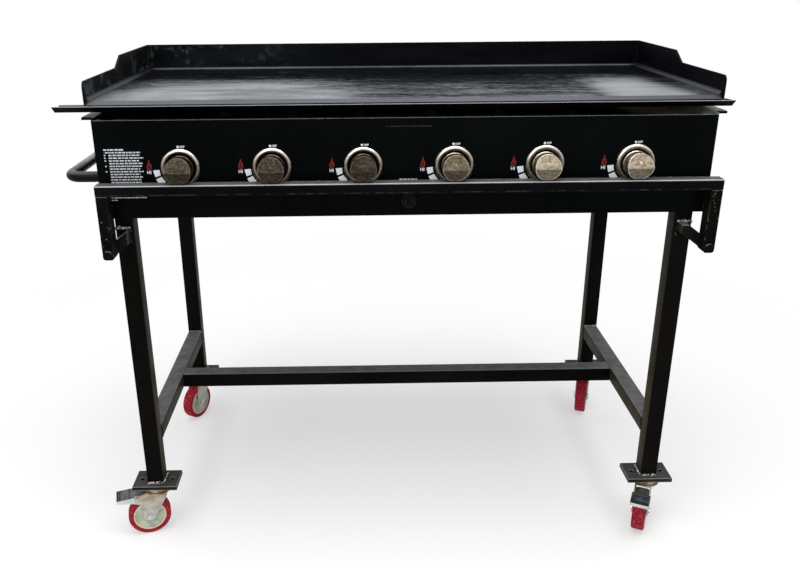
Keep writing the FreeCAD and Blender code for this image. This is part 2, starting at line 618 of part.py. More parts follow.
def make_griddle_tray():
    """Cooking plate, and the splash guards welded to its back and side edges."""
    inner_back = "(plate_back - guard_sheet)"
    plate = outline("griddle_plate_body", "YZ", [
        ("plate_front", "plate_bottom"),
        (inner_back, "plate_bottom"),
        (inner_back, "plate_top"),
        ("plate_front + plate_bevel", "plate_top"),
        ("plate_front", "plate_top - plate_bevel"),
    ], "tray_width - 2 * guard_sheet")
    node(plate, "griddle_plate")
    node(block("rear_splash_guard_sheet",
               ("tray_width - 2 * guard_sheet", "guard_sheet", "back_guard_height + plate_thick"),
               ("-tray_width / 2 + guard_sheet", inner_back, "plate_bottom")), "rear_splash_guard")
    for side, sign in (("left", -1), ("right", 1)):
        name = f"{side}_splash_guard"
        low = "(plate_top + side_guard_height)"
        high = "(plate_top + back_guard_height)"
        middle = f"{sign} * (tray_width / 2 - guard_sheet / 2)"
        outside = f"{middle} - guard_sheet / 2"
        wall = outline(name + "_wall", "YZ", [
            ("plate_front + plate_bevel", "plate_bottom"),
            ("plate_back", "plate_bottom"),
            ("plate_back", high),
            ("step_end", high),
            ("step_start", low),
            ("plate_front + guard_radius", low),
            ("plate_front", low + " - guard_radius"),
            ("plate_front + plate_bevel", low + " - 2 * guard_radius"),
        ], "guard_sheet")
        front_rise = "side_guard_height + plate_thick - guard_radius"
        front_edge = block(name + "_front", ("guard_sheet", "2 * plate_bevel", front_rise),
                           (outside, "plate_front", "plate_bottom"))
        place(wall, middle, "0", "0")
        corner = rod(name + "_corner", "guard_radius", "guard_sheet",
                     (outside, "plate_front + guard_radius", low + " - guard_radius"), ALONG_X)
        node(fuse(name, [wall, front_edge, corner]), name)


def make_gutter():
    """Grease gutter: a folded trough under the front edge, open at the left end."""
    top_back = "(plate_front + gutter_lap)"
    floor = "(plate_bottom - gutter_fall)"
    floor_back = f"({top_back} - gutter_back_slope)"
    floor_front = "(gutter_front + gutter_front_slope)"
    tip = "(plate_bottom + gutter_lip_rise)"
    outside = [
        (top_back, "plate_bottom"),
        (floor_back, floor),
        (floor_front, floor),
        ("gutter_front", tip),
    ]
    inside = [
        ("gutter_front + gutter_sheet", tip + " + gutter_sheet / 2"),
        (floor_front + " + gutter_sheet / 2", floor + " + gutter_sheet"),
        (floor_back + " - gutter_sheet / 2", floor + " + gutter_sheet"),
        (top_back + " - gutter_sheet * 3 / 2", "plate_bottom"),
    ]
    length = "(tray_width + spout_reach + gutter_end_reach)"
    trough = outline("gutter_trough", "YZ", outside + inside, length)
    place(trough, "(gutter_end_reach - spout_reach) / 2", "0", "0")
    cap = outline("gutter_cap", "YZ", outside, "gutter_sheet")
    place(cap, "tray_width / 2 + gutter_end_reach - gutter_sheet / 2", "0", "0")
    node(fuse("grease_gutter_solid", [trough, cap]), "grease_gutter")


def make_tray_feet():
    """Blocks under the plate that stand on the flanges of the burner box."""
    feet = []
    rise = "(plate_bottom - flange_top)"
    for side, sign in (("left", -1), ("right", 1)):
        middle = f"{sign} * (panel_width / 2 + flange_reach / 2)"
        for row, y in (("front", "plate_front + rest_inset"),
                       ("rear", "plate_back - rest_inset - rest_length")):
            feet.append(block(f"tray_foot_{side}_{row}", ("rest_width", "rest_length", rise),
                              (f"{middle} - rest_width / 2", y, "flange_top")))
    node(group("tray_feet", feet), "tray_feet")


def make_knobs():
    bezels = []
    for index in range(6):
        x = knob_x(index)
        name = f"knob_{index + 1}"
        section = "((bezel_radius - bezel_hole) / 2)"
        base = rod(f"bezel_base_{index}", "bezel_radius", "bezel_base",
                   (x, "-bezel_base", "knob_height"), ALONG_Y)
        ring = doc.addObject("Part::Torus", f"bezel_ring_{index}")
        bind(ring, "Radius1", "(bezel_radius + bezel_hole) / 2")
        bind(ring, "Radius2", section)
        place(ring, x, "-bezel_base", "knob_height", ALONG_Y)
        hole = rod(f"bezel_hole_{index}", "bezel_hole", "bezel_radius * 2",
                   (x, "-bezel_radius", "knob_height"), ALONG_Y)
        behind = rod(f"bezel_behind_{index}", "bezel_radius * 2", "bezel_radius",
                     (x, "0", "knob_height"), ALONG_Y)
        bezels.append(cut(f"bezel_{index}", fuse(f"bezel_solid_{index}", [base, ring]), [hole, behind]))

        skirt = rod(name + "_skirt", "knob_skirt_radius", "knob_skirt",
                    (x, "-knob_play - knob_skirt", "knob_height"), ALONG_Y)
        knurl = rod(name + "_knurl", "knurl_radius", "knurl_end - knob_play",
                    (x, "-knurl_end", "knob_height"), ALONG_Y)
        drum = rod(name + "_drum", "knob_radius", "knob_face - knurl_end",
                   (x, "-knob_face", "knob_height"), ALONG_Y)
        ridge = "knob_height - knob_ridge_drop"
        wedge = outline(name + "_wedge", "YZ", [
            ("-knurl_end", "knob_height - knob_radius - 1"),
            ("-knurl_end", "knob_height + knob_radius + 1"),
            ("-knob_face + knob_top_fall", "knob_height + knob_radius + 1"),
            ("-knob_face", ridge + " + knob_ridge / 2"),
            ("-knob_face", ridge + " - knob_ridge / 2"),
            ("-knob_face + knob_bottom_fall", "knob_height - knob_radius - 1"),
        ], "2 * knob_radius + 2")
        place(wedge, x, "0", "0")
        cap = doc.addObject("Part::Common", name + "_cap")
        cap.Base = drum
        cap.Tool = wedge
        stem = rod(name + "_stem", "stem_radius", "knob_play + valve_setback + stem_grip",
                   (x, "-knob_play", "knob_height"), ALONG_Y)
        node(fuse(name + "_solid", [skirt, knurl, cap, stem]), name)
    node(group("knob_bezels", bezels), "knob_bezels")


def make_gas_parts():
    valves = []
    burners = []
    electrodes = []
    support_top = "(knob_height - burner_radius)"
    for index in range(6):
        x = knob_x(index)
        body = block(f"valve_body_{index}", ("valve_width", "valve_depth", "valve_height"),
                     (x + " - valve_width / 2", "valve_setback", "knob_height - valve_height / 2"))
        jet = rod(f"valve_jet_{index}", "jet_radius", "jet_length",
                  (x, "valve_setback + valve_depth", "knob_height"), ALONG_Y)
        socket = rod(f"valve_socket_{index}", "stem_radius + stem_play", "stem_grip + stem_play",
                     (x, "valve_setback", "knob_height"), ALONG_Y)
        valves.append(cut(f"valve_{index}", fuse(f"valve_solid_{index}", [body, jet]), [socket]))
        pipe = rod(f"burner_pipe_{index}", "burner_radius", "burner_end - burner_start",
                   (x, "burner_start", "knob_height"), ALONG_Y)
        bore = rod(f"burner_bore_{index}", "burner_radius - burner_wall",
                   "burner_end - burner_start - burner_wall",
                   (x, "burner_start - burner_wall", "knob_height"), ALONG_Y)
        burners.append(cut(f"burner_{index}", pipe, [bore]))
        electrodes.append(rod(f"electrode_{index}", "electrode_radius", "electrode_height",
                              (x + " + electrode_offset", "burner_start + support_inset + support_width / 2",
                               support_top)))
    node(group("gas_valves", valves), "gas_valves")
    node(group("burners", burners), "burners")
    node(group("spark_electrodes", electrodes), "spark_electrodes")

    bars = []
    size = ("panel_width - 2 * sheet", "support_width", "support_height")
    for name, y in (("front", "burner_start + support_inset"),
                    ("rear", "burner_end - support_inset - support_width")):
        corner = ("panel_left + sheet", y, support_top + " - support_height")
        bars.append(block(f"burner_support_{name}", size, corner))
    node(group("burner_supports", bars), "burner_supports")

    make_manifold()
    make_inlet()


def make_manifold():
    """The pipe that feeds the valves, bent back and out to the inlet on the right wall."""
    start = knob_x(0) + " - manifold_end"
    runs = []
    for name, radius, shift in (("pipe", "manifold_radius", "0"),
                                ("bore", "(manifold_radius - manifold_wall)", "manifold_wall")):
        front = rod(f"manifold_{name}_front", radius, f"elbow_place + {radius} - ({start}) - {shift}",
                    (f"{start} + {shift}", "manifold_middle", "manifold_height"), ALONG_X)
        back = rod(f"manifold_{name}_back", radius, f"inlet_setback + 2 * {radius}",
                   ("elbow_place", f"manifold_middle - {radius}", "manifold_height"), ALONG_Y)
        side = rod(f"manifold_{name}_side", radius, "inlet_start - elbow_place",
                   ("elbow_place", "inlet_place", "manifold_height"), ALONG_X)
        runs.append(fuse(f"manifold_{name}", [front, back, side]))
    node(cut("gas_manifold_cut", runs[0], [runs[1]]), "gas_manifold")


def make_inlet():
    """Hose tail with a hex nut outside the right wall and a flange inside it."""
    start = ("inlet_start", "inlet_place", "manifold_height")
    neck = rod("inlet_neck", "inlet_neck_radius", "inlet_length", start, ALONG_X)
    thread = rod("inlet_thread", "inlet_radius", "inlet_reach - inlet_nut - inlet_relief",
                 ("panel_right + inlet_nut + inlet_relief", "inlet_place", "manifold_height"), ALONG_X)
    nut = doc.addObject("Part::Prism", "inlet_nut_solid")
    nut.Polygon = 6
    bind(nut, "Circumradius", "inlet_nut_radius")
    bind(nut, "Height", "inlet_nut")
    place(nut, "panel_right", "inlet_place", "manifold_height", ALONG_X)
    flange = rod("inlet_flange", "inlet_flange_radius", "inlet_length - inlet_reach - sheet", start, ALONG_X)
    bore = rod("inlet_bore", "inlet_bore", "inlet_length + 2",
               ("inlet_start - 1", "inlet_place", "manifold_height"), ALONG_X)
    node(cut("gas_inlet_cut", fuse("gas_inlet_solid", [neck, thread, nut, flange]), [bore]), "gas_inlet")


def make_igniter():
    middle = ("igniter_offset", "0", "igniter_height")
    ring = rod("igniter_ring_solid", "igniter_ring_radius", "igniter_ring",
               ("igniter_offset", "-igniter_ring", "igniter_height"), ALONG_Y)
    barrel = rod("igniter_barrel_solid", "igniter_barrel_radius", "igniter_barrel", middle, ALONG_Y)
    bore = rod("igniter_bore", "button_radius + button_play",
               "igniter_ring + button_length - button_front + button_travel",
               ("igniter_offset", "-igniter_ring", "igniter_height"), ALONG_Y)
    body = cut("igniter_body_cut", fuse("igniter_body_solid", [ring, barrel]), [bore])
    node(body, "igniter_body")
    node(rod("igniter_button_solid", "button_radius", "button_length",
             ("igniter_offset", "-button_front", "igniter_height"), ALONG_Y), "igniter_button")


def make_badge():
    node(block("badge_plate_sheet", ("badge_width", "badge_sheet", "badge_height"),
               ("knob_shift - badge_width / 2", "-badge_sheet", "badge_bottom")), "badge_plate")


def make_handle():
    """Round-tube carrying handle on the left side of the burner box."""
    out = "(panel_width / 2 + handle_out)"
    front_y = "handle_front"
    back_y = "(box_depth - handle_front)"
    pieces = [
        rod("handle_grip", "handle_radius", f"{back_y} - {front_y} - 2 * handle_bend",
            (f"-{out}", front_y + " + handle_bend", "handle_height"), ALONG_Y),
        rod("handle_front_arm", "handle_radius", "handle_out - handle_bend",
            (f"-{out} + handle_bend", front_y, "handle_height"), ALONG_X),
        rod("handle_back_arm", "handle_radius", "handle_out - handle_bend",
            (f"-{out} + handle_bend", back_y, "handle_height"), ALONG_X),
    ]
    for name, y, start in (("front", front_y + " + handle_bend", 180),
                           ("back", back_y + " - handle_bend", 90)):
        bend = doc.addObject("Part::Torus", f"handle_{name}_bend")
        bind(bend, "Radius1", "handle_bend")
        bind(bend, "Radius2", "handle_radius")
        bend.Angle3 = 90
        quarter = FreeCAD.Rotation(FreeCAD.Vector(0, 0, 1), start)
        place(bend, f"-{out} + handle_bend", y, "handle_height", quarter)
        pieces.append(bend)
    node(fuse("side_handle_solid", pieces), "side_handle")


def check(things):
    """Stop if anything failed to build or is not a sound solid."""
    for thing in doc.Objects:
        if {"Invalid", "Error"} & set(thing.State):
            raise RuntimeError(f"{thing.Name} failed: {thing.State}")
    for thing in things:
        shape = thing.Shape
        if shape.isNull() or not shape.isValid() or not shape.Solids:
            raise RuntimeError(f"{thing.Label} has no sound solid")


def centre_on_footprint(things):
    """Move every sub-part so that the origin lies on the floor, in the middle of the footprint."""
    whole = Part.makeCompound([thing.Shape for thing in things]).optimalBoundingBox(False, False)
    middles = {"x": (whole.XMin + whole.XMax) / 2, "y": (whole.YMin + whole.YMax) / 2, "z": whole.ZMin}
    for row, letter in enumerate("xyz", start=len(SIZES) + 1):
        alias = f"origin_{letter}"
        sheet.set(f"A{row}", alias)
        sheet.set(f"B{row}", f"{middles[letter]:.6f}")
        sheet.setAlias(f"B{row}", alias)
    doc.recompute()
    for thing in things:
        expressions = {prop.strip("."): text for prop, text in thing.ExpressionEngine}
        for letter in "xyz":
            prop = f"Placement.Base.{letter}"
            thing.setExpression(prop, f"{expressions.get(prop, '0')} - dims.origin_{letter}")
    doc.recompute()
    return middles


make_rails()
make_rail_end_caps()
make_brackets()
make_leg_arms()
make_legs()
make_bars()
make_foot_plates()
make_casters()
make_front_panel()
make_box_shell()
make_rail_fixings()
make_griddle_tray()
make_gutter()
make_tray_feet()
make_knobs()
make_gas_parts()
make_igniter()
make_badge()
make_handle()
doc.recompute()
check(NODES)
origin = centre_on_footprint(NODES)
check(NODES)

os.makedirs("parts", exist_ok=True)
for part_object in NODES:
    part_object.Shape.exportStep(f"parts/{part_object.Label}.step")
print(len(NODES), "sub-parts, origin at", origin)
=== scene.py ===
import json
import math
import random
from functools import partial

import bmesh
import bpy
from mathutils import Matrix, Vector

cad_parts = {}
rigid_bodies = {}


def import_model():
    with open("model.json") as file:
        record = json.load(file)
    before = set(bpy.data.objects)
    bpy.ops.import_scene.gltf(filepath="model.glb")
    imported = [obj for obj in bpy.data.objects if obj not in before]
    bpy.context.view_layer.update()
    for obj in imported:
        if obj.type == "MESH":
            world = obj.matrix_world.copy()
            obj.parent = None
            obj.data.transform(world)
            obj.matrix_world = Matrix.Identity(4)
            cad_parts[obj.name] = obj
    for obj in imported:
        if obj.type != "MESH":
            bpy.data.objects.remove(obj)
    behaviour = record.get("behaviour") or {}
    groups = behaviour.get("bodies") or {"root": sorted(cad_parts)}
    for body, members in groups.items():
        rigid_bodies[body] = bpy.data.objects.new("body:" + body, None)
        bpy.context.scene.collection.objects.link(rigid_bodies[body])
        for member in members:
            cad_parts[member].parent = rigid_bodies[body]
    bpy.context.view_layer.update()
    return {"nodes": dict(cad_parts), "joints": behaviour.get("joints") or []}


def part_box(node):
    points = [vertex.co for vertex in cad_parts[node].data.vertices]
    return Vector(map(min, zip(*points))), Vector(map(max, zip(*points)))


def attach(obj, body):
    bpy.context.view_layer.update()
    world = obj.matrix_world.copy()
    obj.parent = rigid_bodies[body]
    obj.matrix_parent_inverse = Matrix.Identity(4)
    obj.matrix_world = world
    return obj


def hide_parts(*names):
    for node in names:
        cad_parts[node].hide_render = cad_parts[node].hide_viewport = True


# Looks of the outdoor gas griddle station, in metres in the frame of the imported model.

for thing in list(bpy.data.objects):
    bpy.data.objects.remove(thing)
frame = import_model()

# Places are measured from the middle of the control panel's front face, and from the floor.
panel_low, panel_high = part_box("front_panel")
PANEL_X = (panel_low.x + panel_high.x) / 2
PANEL_Y = panel_low.y
TO_METRES = Matrix.Scale(0.001, 4)

ROWS = ("front", "rear")
# Each side, and the sign of X from it towards the middle.
SIDES = (("left", 1), ("right", -1))
FRONT_CORNERS = ("front_left", "front_right")
CORNERS = FRONT_CORNERS + ("rear_left", "rear_right")
KNOBS = range(1, 7)


def at(x, y, z):
    """A point from millimetres right of the panel's middle, behind its face and above the floor."""
    return Vector((PANEL_X + x / 1000, PANEL_Y + y / 1000, z / 1000))


# Node trees

# Most of a noise's values lie between these two.
NOISE_LOW, NOISE_HIGH = 0.3, 0.7
# How far the rounded normal agrees with the true one on a flat face, and along an edge.
FLAT_FACE, SHARP_EDGE = 0.99, 0.86


class Graph:
    """A node tree, with short ways to add nodes and link them."""

    def __init__(self, tree):
        self.tree = tree

    def feed(self, target, value):
        """Link a socket to an input, or write a value into it."""
        if isinstance(value, bpy.types.NodeSocket):
            self.tree.links.new(value, target)
        elif target.type == "RGBA":
            target.default_value = (*value, 1.0)
        else:
            target.default_value = value

    def node(self, kind, output, inputs, **settings):
        """Add a node, feed its inputs by name or number, and give one of its outputs."""
        node = self.tree.nodes.new(kind)
        for key, value in settings.items():
            setattr(node, key, value)
        for key, value in inputs.items():
            self.feed(node.inputs[key], value)
        return node.outputs[output]

    def ramp(self, value, low, high, start=0.0, end=1.0):
        """The value mapped smoothly from low..high to start..end, and clamped."""
        return self.node("ShaderNodeMapRange", "Result", {
            "Value": value, "From Min": low, "From Max": high, "To Min": start, "To Max": end,
        }, interpolation_type="SMOOTHSTEP")

    def spread(self, noise, start=0.0, end=1.0):
        """A noise mapped from its usual values to start..end."""
        return self.ramp(noise, NOISE_LOW, NOISE_HIGH, start, end)

    def maths(self, operation, first, second=0.0):
        return self.node("ShaderNodeMath", "Value", {0: first, 1: second}, operation=operation)

    def plus(self, first, second):
        return self.maths("ADD", first, second)

    def times(self, first, second):
        return self.maths("MULTIPLY", first, second)

    def larger(self, first, second):
        return self.maths("MAXIMUM", first, second)

    def seen(self):
        """1 for camera, reflected and transmitted rays, 0 for others."""
        rays = self.tree.nodes.new("ShaderNodeLightPath").outputs
        direct = self.larger(rays["Is Camera Ray"], rays["Is Glossy Ray"])
        return self.larger(direct, rays["Is Transmission Ray"])


class Look(Graph):
    """One material, with its textures and masks."""

    def __init__(self, name, metallic=0.0, specular=0.5):
        self.material = bpy.data.materials.new(name)
        self.material.use_nodes = True
        super().__init__(self.material.node_tree)
        self.shader = self.tree.nodes["Principled BSDF"]
        self.set("Metallic", metallic)
        self.set("Specular IOR Level", specular)
        self.place = self.node("ShaderNodeTexCoord", "Object", {})

    def set(self, name, value):
        """Set or link one input of the shader."""
        self.feed(self.shader.inputs[name], value)

    def noise(self, scale, detail=4.0, rough=0.55, stretch=None, distortion=0.0):
        """Clouds, drawn into streaks by a stretch on each axis."""
        place = self.place
        if stretch:
            place = self.node("ShaderNodeMapping", "Vector", {"Vector": place, "Scale": stretch})
        return self.node("ShaderNodeTexNoise", "Fac", {
            "Vector": place, "Scale": scale, "Detail": detail, "Roughness": rough, "Distortion": distortion})

    def cells(self, scale):
        """How far the nearest of many scattered points is."""
        return self.node("ShaderNodeTexVoronoi", "Distance", {"Vector": self.place, "Scale": scale})

    def mix(self, factor, first, second):
        """The first colour at 0, the second at 1."""
        inputs = {"Factor": factor, "A": first, "B": second}
        return self.node("ShaderNodeMix", "Result", inputs, data_type="RGBA")

    def clouded(self, noise, dark, light):
        return self.mix(self.spread(noise), dark, light)

    def axis(self, letter):
        """Where the surface is along one axis, in metres."""
        return self.node("ShaderNodeSeparateXYZ", letter, {"Vector": self.place})

    def away(self, letter, place):
        """How far the surface is from one place along an axis, in metres."""
        return self.maths("ABSOLUTE", self.maths("SUBTRACT", self.axis(letter), place))

    def facing(self, letter):
        """How far the surface points along one axis of the object, from -1 to 1."""
        normal = self.node("ShaderNodeNewGeometry", "Normal", {})
        turned = self.node("ShaderNodeVectorTransform", "Vector", {"Vector": normal},
                           vector_type="NORMAL", convert_from="WORLD", convert_to="OBJECT")
        return self.node("ShaderNodeSeparateXYZ", letter, {"Vector": turned})

    def edges(self, radius=0.0015):
        """Near 1 along outer and inner edges, 0 on flat faces."""
        rounded = self.node("ShaderNodeBevel", "Normal", {"Radius": radius}, samples=4)
        true = self.node("ShaderNodeNewGeometry", "Normal", {})
        alike = self.node("ShaderNodeVectorMath", "Value", {0: rounded, 1: true}, operation="DOT_PRODUCT")
        return self.ramp(alike, FLAT_FACE, SHARP_EDGE)

    def done(self, colour, rough, height, strength, distance=0.001):
        """Finish the material with its colour, roughness and bump."""
        self.set("Base Color", colour)
        self.set("Roughness", rough)
        self.set("Normal", self.node("ShaderNodeBump", "Normal", {
            "Strength": strength, "Distance": distance, "Height": height}))
        return self.material


# Black paint and the layers on it

def add_grime(look, base, amount):
    """A painted brown reflection on the flanks, stronger low down, where the floor lights them."""
    flank = look.ramp(look.maths("ABSOLUTE", look.facing("X")), 0.7, 1.0, 0.0, amount)
    reflected = look.times(flank, look.spread(look.noise(18.0, 5.0, stretch=(1.0, 1.0, 0.2)), 0.55, 1.0))
    low_down = look.ramp(look.axis("Z"), 0.25, 0.75, 1.0, 0.4)
    return look.mix(look.times(reflected, low_down), base, (0.058, 0.048, 0.030))


def add_dust(look, base, amount):
    """Grey dust on faces that look up, together with a painted sheen of light there."""
    upward = look.ramp(look.facing("Z"), 0.6, 1.0, 0.0, amount)
    dust_and_sheen_share = look.times(upward, look.ramp(look.noise(40.0, 6.0), 0.25, 0.75, 0.6, 1.0))
    return look.mix(dust_and_sheen_share, base, (0.40, 0.40, 0.415))


def add_rubbing(look, base, amount):
    """A painted highlight along rounded upper edges, in patches."""
    upward = look.facing("Z")
    band = look.times(look.ramp(upward, 0.25, 0.60), look.ramp(upward, 0.995, 0.93))
    patches = look.ramp(look.noise(12.0, 4.0), 0.2, 0.6, 0.75 * amount, amount)
    return look.mix(look.times(band, patches), base, (0.33, 0.33, 0.335))


def add_specks(look, base, amount):
    """Small flakes off the flat faces, fewer to the right."""
    dots = look.ramp(look.cells(170.0), 0.32, 0.22)
    patches = look.ramp(look.noise(95.0, 2.0), 0.56, 0.62, 0.0, amount)
    patches = look.times(patches, look.ramp(look.axis("X"), -0.5, 0.5, 1.0, 0.35))
    return look.mix(look.times(dots, patches), base, (0.21, 0.20, 0.18))


def add_scratch(look, base, height):
    """A broken scratch along X, at a height in metres."""
    wobble = look.times(look.noise(9.0, 4.0), 0.002)
    line = look.ramp(look.plus(look.away("Z", height), wobble), 0.0022, 0.0012)
    broken = look.ramp(look.noise(26.0, 6.0, 0.75, stretch=(1.0, 0.1, 0.1)), 0.46, 0.60)
    return look.mix(look.times(line, broken), base, (0.040, 0.040, 0.039))


def add_chips(look, base, amount):
    """Bare metal where edges were knocked."""
    spots = look.ramp(look.noise(260.0, 5.0, 0.7), 0.62 - 0.12 * amount, 0.70 - 0.10 * amount)
    return look.mix(look.times(look.edges(), spots), base, (0.42, 0.40, 0.36))


# From the lowest layer to the top one. The flank reflection and the edge highlight are painted light, and the
# dust carries a painted sheen.
LAYERS = {
    "grime": add_grime, "dust": add_dust, "rubbing": add_rubbing,
    "specks": add_specks, "scratch": add_scratch, "chips": add_chips,
}


def black_paint(name, dark, light, roughness, specular, **amounts):
    """Sprayed black paint with faint clouds, orange peel and the layers that are named."""
    look = Look(name, specular=specular)
    base = look.clouded(look.noise(5.0, 5.0), dark, light)
    for layer, add_layer in LAYERS.items():
        if layer in amounts:
            base = add_layer(look, base, amounts[layer])
    rough = look.spread(look.noise(30.0, 6.0), roughness - 0.06, roughness + 0.08)
    return look.done(base, rough, look.noise(900.0, 2.0), 0.05)


# Other materials

def plate_steel():
    """Seasoned steel: dark, with a painted reflection that is pale in two zones towards the front and dark at
    the back, and a dark bend at the front.
    """
    look = Look("plate_steel")
    look.set("IOR", 2.2)
    look.set("Specular Tint", (0.35, 0.36, 0.38))
    wide = look.noise(2.6, 3.0, 0.5, distortion=0.6)
    streaks = look.noise(7.0, 7.0, 0.65, stretch=(0.6, 3.0, 1.0), distortion=0.8)
    grain = look.noise(62.0, 9.0, 0.8, stretch=(0.7, 1.0, 1.0))
    blotch = look.plus(look.times(wide, 0.55), look.times(streaks, 0.45))
    # The painted reflection: pale in two zones towards the front and dark at the back.
    left_zone = look.ramp(look.away("X", PANEL_X - 0.35), 0.34, 0.04, 0.30, 1.0)
    right_zone = look.ramp(look.away("X", PANEL_X + 0.48), 0.15, 0.01, 0.0, 0.95)
    frontward = look.ramp(look.axis("Y"), 0.17, -0.22)
    painted_reflection = look.times(frontward, look.larger(left_zone, right_zone))
    for texture, weight in ((streaks, 0.9), (grain, 1.1)):
        painted_reflection = look.plus(painted_reflection, look.times(look.maths("SUBTRACT", texture, 0.5), weight))
    tone = look.mix(look.ramp(blotch, 0.40, 0.58), (0.040, 0.043, 0.045), (0.175, 0.187, 0.192))
    tone = look.mix(look.ramp(painted_reflection, 0.05, 0.85), (0.014, 0.015, 0.018), tone)
    tone = look.mix(look.ramp(grain, 0.40, 0.72, 0.0, 0.65), tone, (0.030, 0.032, 0.034))
    bend = look.ramp(look.facing("Y"), -0.25, -0.60)
    tone = look.mix(bend, tone, (0.038, 0.041, 0.046))
    look.set("Metallic", look.larger(bend, look.ramp(painted_reflection, 0.05, 0.65, 1.0, 0.0)))
    height = look.plus(look.times(streaks, 0.6), look.times(grain, 0.25))
    return look.done(tone, look.spread(blotch, 0.46, 0.30), height, 0.35, 0.0012)


def cove_steel():
    """Hollow corners at the foot of the guards, with a painted reflection that brightens them towards the
    front.
    """
    look = Look("cove_steel", metallic=0.8)
    look.set("Specular Tint", (0.5, 0.51, 0.53))
    haze = look.noise(6.0, 4.0)
    tone = look.clouded(haze, (0.022, 0.024, 0.027), (0.050, 0.054, 0.060))
    # Painted reflection, brighter towards the front.
    frontward = look.ramp(look.axis("Y"), 0.20, -0.27, 0.0, 0.8)
    tone = look.mix(frontward, tone, (0.085, 0.090, 0.100))
    return look.done(tone, look.spread(haze, 0.36, 0.46), look.noise(120.0, 4.0), 0.06)


def guard_steel():
    """Blued plate, paler to the left, with pale cloudy patches there."""
    look = Look("guard_steel", specular=0.035)
    clouds = look.noise(20.0, 8.0, 0.72, distortion=0.5)
    streaks = look.ramp(look.noise(9.0, 5.0, 0.6, stretch=(0.5, 0.5, 3.0)), 0.35, 0.7)
    leftward = look.ramp(look.axis("X"), 0.1, -0.55)
    tone = look.mix(streaks, (0.0012, 0.0014, 0.0028), (0.0032, 0.0035, 0.0055))
    left_tone = look.mix(streaks, (0.0022, 0.0028, 0.0034), (0.0075, 0.0086, 0.0096))
    pale_patches = look.times(look.ramp(clouds, 0.52, 0.62, 0.0, 0.65), look.ramp(leftward, 0.35, 1.0))
    tone = look.mix(pale_patches, look.mix(leftward, tone, left_tone), (0.050, 0.056, 0.060))
    return look.done(tone, look.spread(clouds, 0.36, 0.5), clouds, 0.06)


def plated(name, dark, light, roughness, stains=0.4, stain=(0.10, 0.085, 0.07)):
    """Plated or bare metal with dull stains and fine brushing."""
    look = Look(name, metallic=1.0)
    brushed = look.noise(220.0, 4.0, 0.6, stretch=(0.15, 1.0, 1.0))
    dirt = look.ramp(look.noise(75.0, 6.0, 0.7, distortion=0.7), 0.50, 0.72, 0.0, stains)
    tone = look.mix(dirt, look.clouded(brushed, dark, light), stain)
    rough = look.spread(look.noise(60.0, 5.0), roughness - 0.07, roughness + 0.1)
    return look.done(tone, rough, brushed, 0.08)


def moulded(name, dark, light, roughness, specular=0.4, grit=None, rim=None):
    """Plastic, rubber or ceramic, with pale grit if asked, and a painted highlight along its edges in the rim
    colour if asked.
    """
    look = Look(name, specular=specular)
    tone = look.clouded(look.noise(45.0, 5.0), dark, light)
    if grit:
        tone = look.mix(look.ramp(look.noise(260.0, 5.0, 0.85), 0.565, 0.645), tone, grit)
    # Painted highlight along the edges.
    if rim:
        tone = look.mix(look.edges(0.0014), tone, rim)
    rough = look.spread(look.noise(70.0, 4.0), roughness - 0.05, roughness + 0.08)
    return look.done(tone, rough, look.noise(500.0, 3.0), 0.08)


def knob_metal(name, dark, light, left):
    """Plated knob metal with a painted highlight on its edges, and painted shade where it looks down, which
    keeps only a share (left) of its colour there.
    """
    look = Look(name, metallic=1.0)
    brushed = look.noise(240.0, 4.0, 0.6, stretch=(0.2, 1.0, 1.0))
    film = look.ramp(look.noise(150.0, 6.0, 0.7, distortion=0.8), 0.44, 0.60, 0.0, 0.75)
    tone = look.mix(film, look.clouded(brushed, dark, light), tuple(0.45 * value for value in dark))
    # Painted shade on the faces that look down.
    shade = look.ramp(look.facing("Z"), -0.25, 0.30, 1.0 - left, 0.0)
    tone = look.mix(shade, tone, (0.016, 0.012, 0.009))
    # Painted highlight along the edges.
    highlight = tuple(min(2.2 * value, 0.8) for value in light)
    tone = look.mix(look.times(look.edges(0.0022), 0.75), tone, highlight)
    return look.done(tone, look.spread(look.noise(60.0, 5.0), 0.20, 0.36), brushed, 0.06)


def bezel_metal():
    """Polished ring, with a painted highlight in bright cream where it looks up and painted shade in brown
    elsewhere.
    """
    look = Look("bezel_nickel", metallic=1.0)
    haze = look.noise(70.0, 5.0, 0.6)
    lit_tone = look.clouded(haze, (0.66, 0.60, 0.52), (0.86, 0.81, 0.73))
    shaded_tone = look.clouded(haze, (0.10, 0.080, 0.062), (0.19, 0.16, 0.13))
    tone = look.mix(look.ramp(look.facing("Z"), -0.10, 0.55), shaded_tone, lit_tone)
    return look.done(tone, look.spread(look.noise(50.0, 5.0), 0.20, 0.34), haze, 0.05)


def fork_zinc():
    """Dull cream zinc, with rust under the crown and paint on the top plate."""
    look = Look("fork_zinc", metallic=0.55)
    haze = look.noise(60.0, 6.0, 0.65)
    tone = look.clouded(haze, (0.34, 0.33, 0.28), (0.52, 0.50, 0.44))
    crown = look.ramp(look.axis("Z"), 0.086, 0.106)
    rust = look.ramp(look.noise(34.0, 6.0, 0.7, distortion=0.6), 0.38, 0.56, 0.0, 0.85)
    tone = look.mix(look.times(crown, rust), tone, (0.26, 0.145, 0.055))
    dirt = look.ramp(look.noise(120.0, 5.0, 0.7), 0.56, 0.74, 0.0, 0.5)
    tone = look.mix(dirt, tone, (0.16, 0.145, 0.12))
    top_plate = look.ramp(look.axis("Z"), 0.1266, 0.1272)
    tone = look.mix(top_plate, tone, (0.010, 0.009, 0.008))
    return look.done(tone, look.spread(haze, 0.34, 0.5), look.noise(300.0, 3.0), 0.06)


